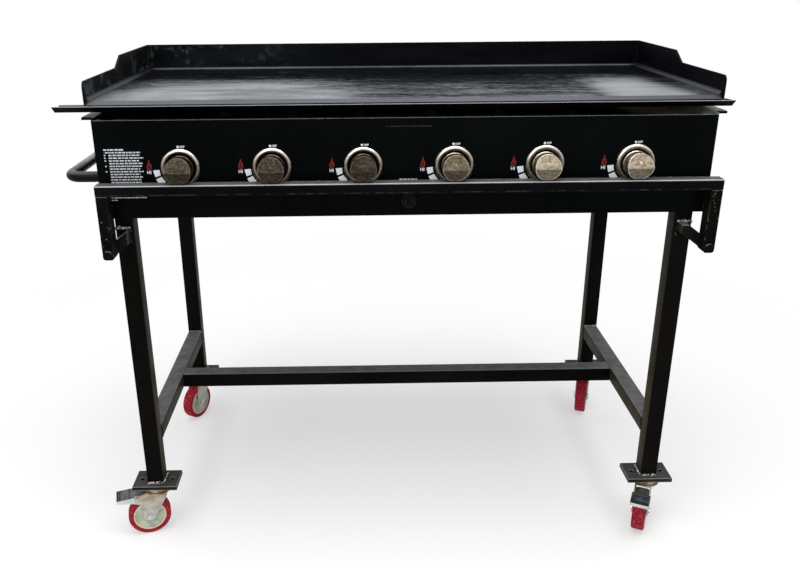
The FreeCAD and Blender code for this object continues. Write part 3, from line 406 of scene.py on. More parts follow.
def pedal_zinc():
    """Blue-grey zinc on the pedal's tread, with its sides and lip near white as a painted highlight."""
    look = Look("pedal_zinc", metallic=0.7)
    haze = look.noise(80.0, 5.0, 0.65)
    top = look.clouded(haze, (0.056, 0.063, 0.068), (0.145, 0.158, 0.166))
    # The near-white sides are a painted highlight.
    sides = look.clouded(haze, (0.46, 0.47, 0.47), (0.66, 0.67, 0.67))
    tone = look.mix(look.ramp(look.facing("Z"), 0.45, 0.80), sides, top)
    return look.done(tone, look.spread(haze, 0.30, 0.42), look.noise(260.0, 3.0), 0.06)


def weld_metal():
    """Bare weld bead: silver, with dark slag and paint in the hollows."""
    look = Look("weld_metal", metallic=0.8)
    lumps = look.noise(380.0, 4.0, 0.65)
    tone = look.mix(look.ramp(lumps, 0.40, 0.62), (0.035, 0.033, 0.030), (0.62, 0.60, 0.55))
    return look.done(tone, look.spread(lumps, 0.55, 0.32), lumps, 0.5)


def box_enamel():
    """Black enamel, dusty on the box's flanges, with painted light on the right wall's inner face near the
    top.
    """
    look = Look("box_enamel", specular=0.03)
    tone = look.clouded(look.noise(5.0, 5.0), (0.0010, 0.0014, 0.0015), (0.0026, 0.0030, 0.0032))
    rightward = look.ramp(look.axis("X"), 0.3, 0.6)
    haze = look.spread(look.noise(30.0, 5.0), 0.75, 1.0)
    flange = look.times(look.ramp(look.facing("Z"), 0.7, 1.0), look.ramp(look.axis("Z"), 0.940, 0.972))
    flange_dust = look.mix(rightward, (0.17, 0.172, 0.175), (0.30, 0.30, 0.275))
    tone = look.mix(look.times(flange, haze), tone, flange_dust)
    # Painted light on the right wall's inner face near the top, where light comes through the gap.
    inward = look.times(look.ramp(look.facing("X"), -0.6, -0.95), rightward)
    near_top = look.ramp(look.axis("Z"), 0.88, 0.93)
    tone = look.mix(look.times(look.times(inward, haze), near_top), tone, (0.42, 0.41, 0.34))
    return look.done(tone, look.spread(look.noise(30.0, 6.0), 0.32, 0.44), look.noise(900.0, 2.0), 0.05)


def handle_paint():
    """Black paint of the round handle, with a painted highlight on top and a painted reddish reflection at
    the outer bend.
    """
    look = Look("handle_paint", specular=0.05)
    clouds = look.noise(14.0, 5.0)
    tone = look.clouded(clouds, (0.0030, 0.0030, 0.0032), (0.0070, 0.0068, 0.0068))
    # Painted reddish reflection at the outer bend.
    outward = look.ramp(look.facing("X"), -0.55, -0.95, 0.0, 0.6)
    tone = look.mix(outward, tone, (0.022, 0.007, 0.006))
    # Painted highlight on top, stronger towards the back.
    upward = look.ramp(look.facing("Z"), 0.35, 0.95)
    wear_and_highlight = look.times(upward, look.ramp(look.axis("Y"), -0.24, -0.10, 0.30, 0.85))
    tone = look.mix(look.times(wear_and_highlight, look.spread(clouds, 0.6, 1.0)), tone, (0.36, 0.36, 0.37))
    return look.done(tone, look.spread(look.noise(60.0, 5.0), 0.22, 0.34), look.noise(700.0, 2.0), 0.04)


def printed(name, colour, wear_and_highlight):
    """Screen-printed ink with faint pinholes."""
    look = Look(name, specular=0.2)
    tone = look.mix(look.noise(40.0, 3.0), colour, tuple(0.86 * value for value in colour))
    holes = look.ramp(look.noise(900.0, 4.0, 0.7), 0.60, 0.72, 0.0, 0.6)
    rough = look.spread(look.noise(200.0, 3.0), 0.4, 0.55)
    return look.done(look.mix(holes, tone, wear_and_highlight), rough, look.noise(900.0, 2.0), 0.04)


def floor_white():
    """Matt pale floor that is seen as white further out."""
    look = Look("floor_white", specular=0.0)
    look.set("Roughness", 0.9)
    look.set("Base Color", look.mix(look.noise(3.0, 3.0), (0.90, 0.90, 0.90), (0.93, 0.93, 0.93)))
    distance = look.node("ShaderNodeVectorMath", "Value", {0: look.place}, operation="LENGTH")
    white = look.times(look.ramp(distance, 0.6, 2.2, 0.45, 1.0), look.seen())
    glow = look.node("ShaderNodeEmission", "Emission", {"Color": (1.0, 1.0, 1.0)})
    blend = look.node("ShaderNodeMixShader", "Shader", {0: white, 1: look.shader.outputs["BSDF"], 2: glow})
    look.feed(look.tree.nodes["Material Output"].inputs["Surface"], blend)
    return look.material


# Height of the front rail's scratch, in metres.
RAIL_SCRATCH = 0.8335

# In these paints the brown on the flanks is a painted reflection, the pale top faces are dust with a painted
# sheen, and the pale upper edges are a painted highlight.
PAINT = black_paint(
    "frame_paint", (0.0026, 0.0024, 0.0021), (0.0060, 0.0053, 0.0044), 0.40, 0.014,
    grime=0.75, dust=0.42, rubbing=0.40, chips=0.15)
RAIL_PAINT = black_paint(
    "rail_paint", (0.0014, 0.0015, 0.0016), (0.0040, 0.0041, 0.0041), 0.40, 0.020,
    grime=0.3, dust=0.20, rubbing=1.0, scratch=RAIL_SCRATCH, chips=0.25)
PAINT_CHIPPED = black_paint(
    "chipped_paint", (0.0012, 0.0012, 0.0011), (0.0034, 0.0032, 0.0028), 0.42, 0.018,
    grime=0.10, dust=0.25, rubbing=0.25, specks=1.0, chips=0.9)
ARM_PAINT = black_paint(
    "arm_paint", (0.0028, 0.0027, 0.0025), (0.0080, 0.0074, 0.0066), 0.40, 0.030,
    grime=0.15, dust=0.85, rubbing=0.3, chips=0.35)
PANEL = black_paint(
    "panel_enamel", (0.0008, 0.0013, 0.0014), (0.0018, 0.0026, 0.0027), 0.30, 0.020, rubbing=0.6)
FOOT = black_paint(
    "foot_paint", (0.007, 0.007, 0.0068), (0.020, 0.019, 0.017), 0.46, 0.04,
    grime=0.3, dust=0.11, rubbing=0.9, chips=0.9)
GUTTER = black_paint(
    "gutter_paint", (0.0008, 0.0007, 0.0006), (0.0030, 0.0024, 0.0020), 0.40, 0.012,
    dust=0.45, rubbing=0.40)
SOOT = black_paint("soot_black", (0.0008, 0.0008, 0.0008), (0.0020, 0.0018, 0.0016), 0.80, 0.01)
# Burners and gas manifold are near black: painted shade for the gap under the tray.
BURNER = black_paint("burner_black", (0.0022, 0.0019, 0.0017), (0.0060, 0.0046, 0.0036), 0.70, 0.01)
GUARD = guard_steel()
SEAM = plated(
    "seam_steel", (0.007, 0.007, 0.008), (0.026, 0.026, 0.027), 0.42, stains=0.6, stain=(0.02, 0.02, 0.02))
KNOB = knob_metal("knob_nickel", (0.36, 0.30, 0.21), (0.56, 0.48, 0.35), left=0.32)
KNOB_BROWN = knob_metal("knob_nickel_brown", (0.13, 0.105, 0.072), (0.26, 0.215, 0.150), left=0.32)
KNOB_DULL = knob_metal("knob_nickel_dull", (0.026, 0.021, 0.016), (0.080, 0.066, 0.048), left=0.55)
ZINC = fork_zinc()
BRIGHT = plated("bright_zinc", (0.40, 0.41, 0.42), (0.66, 0.67, 0.68), 0.22, stain=(0.12, 0.12, 0.12))
PEDAL = pedal_zinc()
BRASS = plated("valve_brass_look", (0.50, 0.36, 0.14), (0.66, 0.50, 0.22), 0.32)
TREAD = moulded(
    "red_tread_look", (0.23, 0.006, 0.018), (0.36, 0.012, 0.034), 0.56,
    specular=0.05, grit=(0.55, 0.30, 0.24))
CORE = moulded("wheel_core_look", (0.33, 0.37, 0.27), (0.55, 0.60, 0.48), 0.38)
RING = moulded("wheel_ring_look", (0.60, 0.47, 0.33), (0.74, 0.62, 0.46), 0.34)
# Black plastic with a painted highlight along its edges.
PLASTIC = moulded(
    "black_plastic_look", (0.0010, 0.0012, 0.0012), (0.0030, 0.0032, 0.0032), 0.18,
    specular=0.03, rim=(0.07, 0.08, 0.08))
CERAMIC = moulded("ceramic_look", (0.20, 0.19, 0.17), (0.34, 0.32, 0.29), 0.35)
INK_WHITE = printed("white_ink", (0.80, 0.83, 0.86), (0.10, 0.10, 0.10))
INK_FAINT = printed("faint_ink", (0.56, 0.59, 0.62), (0.04, 0.04, 0.04))
INK_RED = printed("red_ink", (0.22, 0.012, 0.008), (0.05, 0.004, 0.003))
INK_DARK_RED = printed("dark_red_ink", (0.030, 0.003, 0.003), (0.015, 0.002, 0.002))

LOOKS = {
    "front_panel": PANEL, "badge_plate": PANEL,
    "burner_box_shell": box_enamel(), "side_handle": handle_paint(),
    "front_brackets": PAINT_CHIPPED, "rear_brackets": PAINT_CHIPPED, "leg_arms": ARM_PAINT,
    "rail_end_caps": PLASTIC, "foot_plates": FOOT, "caster_heads": ZINC,
    "griddle_plate": plate_steel(), "grease_gutter": GUTTER, "tray_feet": GUTTER,
    "left_splash_guard": GUARD, "right_splash_guard": GUARD, "rear_splash_guard": GUARD,
    "knob_bezels": bezel_metal(), "burners": BURNER, "burner_supports": SOOT, "gas_manifold": BURNER,
    "gas_valves": BRASS, "gas_inlet": BRASS, "igniter_body": PLASTIC, "igniter_button": PLASTIC,
    "spark_electrodes": CERAMIC, "front_left_brake_pedal": PEDAL, "front_right_brake_pedal": PEDAL,
}
# The knobs get browner and duller to the left.
for index, look in zip(KNOBS, (KNOB_DULL, KNOB_DULL, KNOB_DULL, KNOB_BROWN, KNOB, KNOB)):
    LOOKS[f"knob_{index}"] = look
for corner in CORNERS:
    for ending, look in (("wheel_tread", TREAD), ("wheel_hub", CORE), ("fork", ZINC), ("axle", BRIGHT)):
        LOOKS[f"{corner}_{ending}"] = look

# What isn't named has the frame's paint.
for name, thing in frame["nodes"].items():
    for slot in thing.material_slots:
        slot.material = LOOKS.get(name, PAINT)


# Helpers for pieces, in millimetres until a turn brings them into the frame

def show(name, data):
    """Put a new object into the scene."""
    thing = bpy.data.objects.new(name, data)
    bpy.context.collection.objects.link(thing)
    return thing


def polar(radius, degrees):
    angle = math.radians(degrees)
    return radius * math.cos(angle), radius * math.sin(angle)


def make_piece(name, shape, look, body, replaces=(), sharp=32.0):
    """Turn a bmesh into a piece of the object that rides on a body."""
    bmesh.ops.recalc_face_normals(shape, faces=shape.faces)
    mesh = bpy.data.meshes.new(name)
    shape.to_mesh(mesh)
    shape.free()
    for polygon in mesh.polygons:
        polygon.use_smooth = True
    mesh.set_sharp_from_angle(angle=math.radians(sharp))
    mesh.materials.append(look)
    thing = show(name, mesh)
    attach(thing, body)
    if replaces:
        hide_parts(*replaces)


def add_loops(shape, loops, closed=False, capped=False):
    """Skin a row of loops of points; a loop of one point closes to a fan.
    The last loop joins the first if closed, and both get a face if capped."""
    rows = [[shape.verts.new(point) for point in loop] for loop in loops]
    pairs = list(zip(rows, rows[1:]))
    if closed:
        pairs.append((rows[-1], rows[0]))
    for first, second in pairs:
        count = max(len(first), len(second))
        for index in range(count):
            after = (index + 1) % count
            if len(first) == 1:
                face = (first[0], second[index], second[after])
            elif len(second) == 1:
                face = (first[after], first[index], second[0])
            else:
                face = (first[after], first[index], second[index], second[after])
            shape.faces.new(face)
    if capped:
        shape.faces.new(rows[0])
        shape.faces.new(rows[-1])


def add_lathe(shape, profile, turn, steps, notch=None):
    """Turn a profile of (radius, place along the axis) about local Z; off the axis it closes to a ring.
    notch(radius, step) gives what is taken off the radius, for teeth."""
    loops = []
    for radius, along in profile:
        loop = []
        for step in range(steps if radius else 1):
            reach = radius - (notch(radius, step) if notch else 0.0)
            loop.append(turn @ Vector((*polar(reach, 360 * step / steps), along)))
        loops.append(loop)
    add_loops(shape, loops, closed=profile[0][0] > 0)


def join(shape, made, turn):
    """Add another bmesh, moved by a turn, and free it."""
    made.transform(turn)
    carrier = bpy.data.meshes.new("carrier")
    made.to_mesh(carrier)
    made.free()
    shape.from_mesh(carrier)
    bpy.data.meshes.remove(carrier)


def round_edges(shape, edges, width, segments):
    bmesh.ops.bevel(shape, geom=edges, offset=width, segments=segments, affect="EDGES", clamp_overlap=True)


def add_block(shape, low, high, turn, round_off=0.0):
    """A box between two corners, with rounded edges if asked."""
    made = bmesh.new()
    bmesh.ops.create_cube(made, size=1.0)
    for vert in made.verts:
        for axis in range(3):
            vert.co[axis] = low[axis] if vert.co[axis] < 0 else high[axis]
    if round_off:
        round_edges(made, made.edges[:], round_off, 2)
    join(shape, made, turn)


def add_prism(shape, outline, thickness, turn):
    """A flat outline in local XY with a thickness along local Z."""
    loops = [[turn @ Vector((x, y, z)) for x, y in outline] for z in (0, thickness)]
    add_loops(shape, loops, capped=True)


def add_sweep(shape, points, radii, sides):
    """A closed tube through points, each with its own radius."""
    loops = [[points[0]]]
    for index, (point, radius) in enumerate(zip(points, radii)):
        before = points[max(index - 1, 0)]
        after = points[min(index + 1, len(points) - 1)]
        ahead = (after - before).normalized()
        side = ahead.orthogonal().normalized()
        up = ahead.cross(side)
        loop = []
        for step in range(sides):
            sideways, upward = polar(radius, 360 * step / sides)
            loop.append(point + sideways * side + upward * up)
        loops.append(loop)
    loops.append([points[-1]])
    add_loops(shape, loops)


def box_mm(node):
    """A node's lowest and highest corners, in millimetres as at() takes them."""
    return tuple(
        Vector(((corner.x - PANEL_X) * 1000, (corner.y - PANEL_Y) * 1000, corner.z * 1000))
        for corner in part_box(node))


# Rounded edges of the CAD nodes that are shown

# Points nearer to each other than this are one, in metres.
SAME_POINT = 0.00002
# From this width on a rounding has four segments, and two below it.
WIDE = 0.004
# Nodes by the width of their rounding, in metres.
SOFT_EDGES = {
    0.0004: ["badge_plate"],
    0.0005: ["burner_box_shell"],
    0.0006: ["front_panel", "gas_inlet"],
    0.0007: ["grease_gutter"],
    0.0008: [corner + "_brake_pedal" for corner in FRONT_CORNERS],
    0.0009: [corner + "_fork" for corner in CORNERS],
    0.0010: ["griddle_plate", "left_splash_guard", "right_splash_guard", "rear_splash_guard", "tray_feet",
             "foot_plates", "igniter_body", "gas_valves", "burner_supports"],
    0.0012: ["frame_bolts", "igniter_button"],
    0.0015: ["front_brackets", "rear_brackets"],
    0.0020: ["leg_arms"],
    0.0045: [corner + "_wheel_tread" for corner in CORNERS],
}


def soften_node(name, width):
    """Round the edges of a CAD node with modifiers; its mesh stays as it is."""
    thing = frame["nodes"][name]
    weld = thing.modifiers.new("weld", "WELD")
    weld.merge_threshold = SAME_POINT
    bevel = thing.modifiers.new("bevel", "BEVEL")
    bevel.width = width
    bevel.segments = 4 if width >= WIDE else 2
    bevel.limit_method = "ANGLE"
    bevel.angle_limit = math.radians(35)
    bevel.use_clamp_overlap = True
    normals = thing.modifiers.new("normals", "WEIGHTED_NORMAL")
    normals.keep_sharp = False


# Frame tubes with the rounded corners of drawn tube, in metres

TUBE_CORNER = 0.0032
TUBE_WALL = 0.002
CORNER_STEPS = 4
TUBES = ("front_rail", "rear_rail", *(corner + "_leg" for corner in CORNERS),
         "left_side_bar", "right_side_bar", "centre_bar")


def rounded_loop(low, high, across, corner):
    """Points round a rectangle with rounded corners, in the two axes across the tube."""
    first, second = across
    inset = Vector((corner,) * 3)
    low, high = low + inset, high - inset
    points = []
    for side_a, side_b, start in ((high, high, 0), (low, high, 90), (low, low, 180), (high, low, 270)):
        for step in range(CORNER_STEPS + 1):
            out_a, out_b = polar(corner, start + 90 * step / CORNER_STEPS)
            points.append((side_a[first] + out_a, side_b[second] + out_b))
    return points


def make_tube(node):
    """A rounded tube in place of a square CAD tube of the same outer size, along its longest side."""
    low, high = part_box(node)
    along = max(range(3), key=lambda axis: high[axis] - low[axis])
    across = [axis for axis in range(3) if axis != along]
    wall = Vector((TUBE_WALL,) * 3)
    outside = (low, high, TUBE_CORNER)
    inside = (low + wall, high - wall, TUBE_CORNER - TUBE_WALL)
    loops = []
    for skin, end in ((outside, low), (outside, high), (inside, high), (inside, low)):
        loop = []
        for first, second in rounded_loop(skin[0], skin[1], across, skin[2]):
            point = Vector((0, 0, 0))
            point[along], point[across[0]], point[across[1]] = end[along], first, second
            loop.append(point)
        loops.append(loop)
    shape = bmesh.new()
    add_loops(shape, loops, closed=True)
    look = RAIL_PAINT if node == "front_rail" else PAINT
    make_piece(node + "_tube", shape, look, "base", (node,), sharp=50)


# Places on the control panel

OUT_OF_PANEL = Matrix(((1, 0, 0), (0, 0, -1), (0, 1, 0))).to_4x4()


def panel_turn(x, z):
    """From a place on the panel in millimetres, local X along the panel, Y up and Z out of it."""
    return Matrix.Translation(at(x, 0, z)) @ OUT_OF_PANEL @ TO_METRES


def knob_place(index):
    """Where a knob's axis meets the panel."""
    low, high = box_mm(f"knob_{index}")
    return (low.x + high.x) / 2, (low.z + high.z) / 2


# Knobs: profiles of (radius, place out of the panel), in millimetres

STEM = [(0, -39), (4, -39), (4, 1)]
SKIRT = [(24.8, 1), (25.6, 1.8), (25.6, 6.9), (24.6, 8)]
GROOVE = [(22.6, 8.4), (22.6, 9.2)]
DRUM_RADIUS = 24.9
DRUM = [(DRUM_RADIUS, 9.8), (DRUM_RADIUS, 15.8), (22.8, 16.4), (22.8, 17.2), (0, 17.2)]
DRUM_STEPS = 144
TOOTH_DEPTH = 1.1
CAP_FRONT = 40
CAP_BLANK = [(0, 16.8), (25.2, 16.8), (25.3, CAP_FRONT), (0, CAP_FRONT)]
# The ridge's height over the axis, half its flat, and the fall and run of the two faces beside it.
RIDGE = -2.0
HALF_FLAT = 0.8
UPPER_FALL, UPPER_RUN = 13, 27.5
LOWER_FALL, LOWER_RUN = 8, 23.5
# The pointer's dot, and its height over the ridge.
DOT = [(0, -0.6), (1.9, -0.6), (1.9, 0.1), (1.3, 0.55), (0, 0.7)]
DOT_RISE = 9.5


def tooth_gap(radius, step):
    """What the drum's radius loses between its teeth."""
    return TOOTH_DEPTH if radius == DRUM_RADIUS and step % 3 == 0 else 0.0


def knob_cap():
    """The grip: a round block cut to a blunt ridge by two slopes."""
    cap = bmesh.new()
    add_lathe(cap, CAP_BLANK, Matrix.Identity(4), 72)
    for height, normal in ((RIDGE + HALF_FLAT, (0, UPPER_FALL, UPPER_RUN)),
                           (RIDGE - HALF_FLAT, (0, -LOWER_FALL, LOWER_RUN))):
        cut = bmesh.ops.bisect_plane(
            cap, geom=cap.verts[:] + cap.edges[:] + cap.faces[:],
            plane_co=(0, height, CAP_FRONT), plane_no=Vector(normal).normalized(), clear_outer=True)
        rim = [item for item in cut["geom_cut"] if isinstance(item, bmesh.types.BMEdge)]
        bmesh.ops.edgenet_fill(cap, edges=rim)
    bmesh.ops.remove_doubles(cap, verts=cap.verts, dist=0.01)
    bmesh.ops.recalc_face_normals(cap, faces=cap.faces)
    inner = [edge for edge in cap.edges if len(edge.link_faces) == 2]
    round_edges(cap, [edge for edge in inner if edge.calc_face_angle() > math.radians(14)], 0.9, 3)
    return cap


def make_knobs():
    for index in KNOBS:
        turn = panel_turn(*knob_place(index))
        shape = bmesh.new()
        add_lathe(shape, STEM + SKIRT + GROOVE + DRUM, turn, DRUM_STEPS, tooth_gap)
        join(shape, knob_cap(), turn)
        reach = RIDGE + DOT_RISE
        dot = Vector((0, reach, CAP_FRONT - (reach - RIDGE - HALF_FLAT) * UPPER_FALL / UPPER_RUN))
        lean = Matrix.Rotation(-math.atan2(UPPER_FALL, UPPER_RUN), 4, "X")
        add_lathe(shape, DOT, turn @ Matrix.Translation(dot) @ lean, 20)
        knob = f"knob_{index}"
        make_piece(knob + "_grip", shape, LOOKS[knob], knob, (knob,), sharp=20)


# Marks printed on the control panel, in millimetres from each knob's axis

# Thickness of the ink.
INK = 0.15
FLAME = [(-5.6, 1.0), (-6.4, 5.2), (-4.6, 9.4), (-2.2, 12.6), (-1.0, 17.0), (-0.2, 20.4), (1.4, 17.2),
         (1.6, 13.4), (2.6, 10.8), (3.6, 12.4), (5.4, 8.6), (5.8, 4.6), (4.2, 1.2), (1.8, -0.2), (-2.6, -0.2)]
FLAME_HEART = [(-3.6, 2.2), (-4.0, 5.2), (-2.4, 8.6), (-0.6, 12.2), (-0.2, 15.0), (0.4, 11.8), (1.4, 8.0),
               (3.4, 6.4), (3.4, 3.4), (1.6, 1.6), (-1.6, 1.4)]
FLAME_PLACE = (-60.8, -3)
FLAME_SLIM = Matrix.Diagonal((0.82, 1.0, 1.0, 1.0))
HI_PLACE, HI_SIZE = (-66.3, -11.2), 9.0
OFF_PLACE, OFF_SIZE = (0.8, 39.4), 5.6
DOT_PLACE, DOT_RADIUS, DOT_STEPS = (-2.4, 41.4), 2.1, 20
# Each block of the heat scale: its two angles in degrees, and its inner and outer radius at each.
HEAT_BLOCKS = ((184.6, 199.4, 41.8, 54.0, 42.4, 53.6), (204.0, 221.0, 42.2, 54.4, 41.6, 54.6))
ARC_STEPS = 5


def add_words(shape, words, size, turn):
    """Generic dial words as a thin solid."""
    curve = bpy.data.curves.new("words", "FONT")
    curve.body = words
    curve.size = size
    curve.extrude = INK / 2
    curve.offset = size * 0.02
    curve.resolution_u = 2
    thing = show("words", curve)
    bpy.context.view_layer.update()
    mesh = bpy.data.meshes.new_from_object(thing)
    made = bmesh.new()
    made.from_mesh(mesh)
    bmesh.ops.remove_doubles(made, verts=made.verts, dist=0.0005)
    join(shape, made, turn @ Matrix.Translation((0, 0, INK / 2)))
    bpy.data.objects.remove(thing)
    bpy.data.meshes.remove(mesh)


def heat_block(start, end, inner_start, outer_start, inner_end, outer_end):
    """Outline of one block of the heat scale."""
    outer, inner = [], []
    for step in range(ARC_STEPS + 1):
        share = step / ARC_STEPS
        angle = start + (end - start) * share
        outer.append(polar(outer_start + (outer_end - outer_start) * share, angle))
        inner.append(polar(inner_start + (inner_end - inner_start) * share, angle))
    return outer + inner[::-1]


def make_dial_marks():
    """A flame, HI and two blocks beside each knob, and a dot and OFF over it."""
    white = bmesh.new()
    red = bmesh.new()
    heart = bmesh.new()
    dot = [polar(DOT_RADIUS, 360 * step / DOT_STEPS) for step in range(DOT_STEPS)]
    for index in KNOBS:
        x, z = knob_place(index)

        def beside(place):
            return panel_turn(x + place[0], z + place[1])

        add_prism(red, FLAME, INK, beside(FLAME_PLACE) @ FLAME_SLIM)
        add_prism(heart, FLAME_HEART, 2 * INK, beside(FLAME_PLACE) @ FLAME_SLIM)
        add_words(white, "HI", HI_SIZE, beside(HI_PLACE))
        for block in HEAT_BLOCKS:
            add_prism(white, heat_block(*block), INK, beside((0, 0)))
        add_prism(white, dot, INK, beside(DOT_PLACE))
        add_words(white, "OFF", OFF_SIZE, beside(OFF_PLACE))
    make_piece("dial_marks", white, INK_WHITE, "base")
    make_piece("dial_flames", red, INK_RED, "base")
    make_piece("dial_flame_hearts", heart, INK_DARK_RED, "base")


# The block of dashes: its rows, and the places of its first row and left side from the first knob.
NOTE_ROWS = 13
NOTE_PITCH = 5.35
NOTE_TOP = 36.7
NOTE_LEFT = -145.5
NOTE_INDENT = 8.5
NUMBERED_ROWS = (1, 2, 3, 4, 6, 8)
# Other rows of dashes, from the panel's middle and the floor: left, right, height and thickness.
SMALL_NOTES = (
    (-579.6, -509.6, 819.6, 2.0), (-580.0, -567.0, 814.6, 2.0),
    (-13.5, 21.5, 850.4, 2.6), (-8.5, 13.0, 846.4, 2.0),
)


def make_bare_notes():
    """Rows of short generic dashes on the panel."""
    draw = random.Random(7)
    x, z = knob_place(1)
    edge = x + NOTE_LEFT
    spots = []
    for row in range(NOTE_ROWS):
        height = z + NOTE_TOP - row * NOTE_PITCH
        left = edge + (0 if row in (0, 1) else NOTE_INDENT)
        right = edge + (39 if row == 0 else draw.uniform(66, 80))
        spots.append((left, right, height, 2.5 if row else 3.0))
        if row in NUMBERED_ROWS:
            spots.append((edge, edge + 3.0, height, 2.3))
    shape = bmesh.new()
    turn = panel_turn(0, 0)
    for left, right, height, tall in (*spots, *SMALL_NOTES):
        place = left
        while place < right:
            length = min(draw.uniform(3.2, 9.0), right - place)
            if length > 0.8:
                low = (place, height - tall / 2, 0)
                add_block(shape, low, (place + length, height + tall / 2, INK), turn)
            place += length + draw.uniform(1.0, 1.9)
    make_piece("bare_note_dashes", shape, INK_FAINT, "base")


# Welds, in millimetres

WELD_STEP = 1.6
WELD_SIDES = 7


def add_weld(shape, draw, start, end, radius):
    """A lumpy bead from one place to another, thinner at its ends."""
    start, end = Vector(start), Vector(end)
    count = max(int((end - start).length / WELD_STEP), 3)
    points = []
    radii = []
    for step in range(count + 1):
        wobble = Vector([draw.uniform(-1, 1) for _ in range(3)]) * radius * 0.28
        points.append(at(*(start.lerp(end, step / count) + wobble)))
        radii.append(radius / 1000 * (0.78 + 0.3 * math.sin(step * 2.1) + draw.uniform(-0.1, 0.2)))
    radii[0] *= 0.6
    radii[-1] *= 0.6
    add_sweep(shape, points, radii, WELD_SIDES)


def weld_feet(bare, covered):
    """Beads round the foot of each leg."""
    for row in ROWS:
        for side, inward in SIDES:
            low, high = box_mm(f"{row}_{side}_leg")
            foot = low.z + 0.8
            inner_x = high.x + 0.6 if inward > 0 else low.x - 0.6
            bare((low.x + 2, low.y - 0.8, foot), (high.x - 2, low.y - 1.4, foot + 0.6), 4.1)
            bare((inner_x, low.y + 1, foot + 1), (inner_x + inward * 2, high.y - 3, foot + 5), 3.3)
            covered((low.x + 2, high.y + 0.8, foot), (high.x - 2, high.y + 0.8, foot), 2.2)


def weld_arms(bare, covered):
    """Beads on top of each arm where it meets its leg, and down its side."""
    top = box_mm("leg_arms")[1].z
    for row in ROWS:
        for side, inward in SIDES:
            low, high = box_mm(f"{row}_{side}_leg")
            face = low.y - 0.8 if row == "front" else high.y + 0.8
            outer = low.x + 1 if inward > 0 else high.x - 1
            inner = outer + inward * 29
            bare((outer, face, top + 0.6), (inner, face, top + 1.2), 4.4)
            covered((inner, face, top), (inner, face, top - 34), 2.2)


def weld_bars(bare, covered):
    """Beads at both ends of the side bars and of the centre bar."""
    for side, inward in SIDES:
        low, high = box_mm(f"{side}_side_bar")
        inner_x = high.x + 0.3 if inward > 0 else low.x - 0.3
        for edge in (low.y, high.y):
            bead = bare if edge == high.y else covered
            bead((low.x + 2, edge, high.z + 0.6), (high.x - 2, edge, high.z + 0.6), 2.6)
            covered((inner_x, edge, high.z - 2), (inner_x, edge, low.z + 3), 1.7)
        low, high = box_mm("centre_bar")
        end = low.x if inward > 0 else high.x
        covered((end, low.y + 2, high.z + 0.2), (end, high.y - 2, high.z + 0.2), 1.6)
        covered((end, low.y - 0.2, high.z - 2), (end, low.y - 0.2, low.z + 2), 1.6)


def weld_brackets(covered):
    """Thin beads under the rails, on both faces of each bracket."""
    for row in ROWS:
        low, high = box_mm(f"{row}_brackets")
        rail = box_mm(f"{row}_rail")[0].z
        for left in (low.x, high.x - 22):
            for edge in (low.y - 0.1, high.y + 0.1):
                covered((left + 1.5, edge, rail), (left + 20.5, edge, rail), 0.9)


def make_welds():
    """Beads on the frame: some are bare metal, the others are painted over."""
    draw = random.Random(3)
    bright = bmesh.new()
    painted = bmesh.new()
    bare = partial(add_weld, bright, draw)
    covered = partial(add_weld, painted, draw)
    weld_feet(bare, covered)
    weld_arms(bare, covered)
    weld_bars(bare, covered)
    weld_brackets(covered)
    make_piece("bare_welds", bright, weld_metal(), "base", sharp=60)
    make_piece("painted_welds", painted, PAINT, "base", sharp=60)


COVE_STEPS = 6
COVE_FRONT_GAP = 9
DOWN_A_LITTLE = Vector((0, 0, -1))


def add_cove(shape, first, second, inward, radius):
    """A hollow corner strip from one place to another along the foot of a guard."""
    turns = [math.pi / 2 / COVE_STEPS * step for step in range(COVE_STEPS + 1)]
    curve = [(radius * (1 - math.sin(turn)), radius * (1 - math.cos(turn))) for turn in turns]
    loops = []
    for place in (first, second):
        loop = [at(*(place + DOWN_A_LITTLE + inward * -1))]
        loop += [at(*(place + inward * out + Vector((0, 0, up)))) for out, up in reversed(curve)]
        loop.append(at(*(place + inward * radius + DOWN_A_LITTLE)))
        loops.append(loop)
    add_loops(shape, loops, capped=True)


def make_tray_welds():
    """Rounded inner corners where the guards are bent up, and the seams where they meet."""
    draw = random.Random(5)
    plate_low, plate_high = box_mm("griddle_plate")
    guard_low, guard_high = box_mm("rear_splash_guard")
    top, back, front = plate_high.z, guard_low.y, plate_low.y + COVE_FRONT_GAP
    left, right = plate_low.x, plate_high.x
    coves = bmesh.new()
    add_cove(coves, Vector((left, back, top)), Vector((right, back, top)), Vector((0, -1, 0)), 5.0)
    add_cove(coves, Vector((left, front, top)), Vector((left, back, top)), Vector((1, 0, 0)), 8.0)
    add_cove(coves, Vector((right, front, top)), Vector((right, back, top)), Vector((-1, 0, 0)), 8.0)
    make_piece("tray_coves", coves, cove_steel(), "griddle_tray", sharp=60)
    seams = bmesh.new()
    for x, inward in ((left, 1), (right, -1)):
        foot = (x + inward * 1.2, back - 1.2, top + 3)
        add_weld(seams, draw, foot, (x + inward * 0.8, back - 0.8, guard_high.z - 2), 1.5)
        add_weld(seams, draw, foot, (x + inward * 9, back - 9, top + 0.4), 1.7)
    make_piece("tray_seams", seams, SEAM, "griddle_tray", sharp=60)


# Casters: profiles of (radius, place out from the wheel's middle), in millimetres

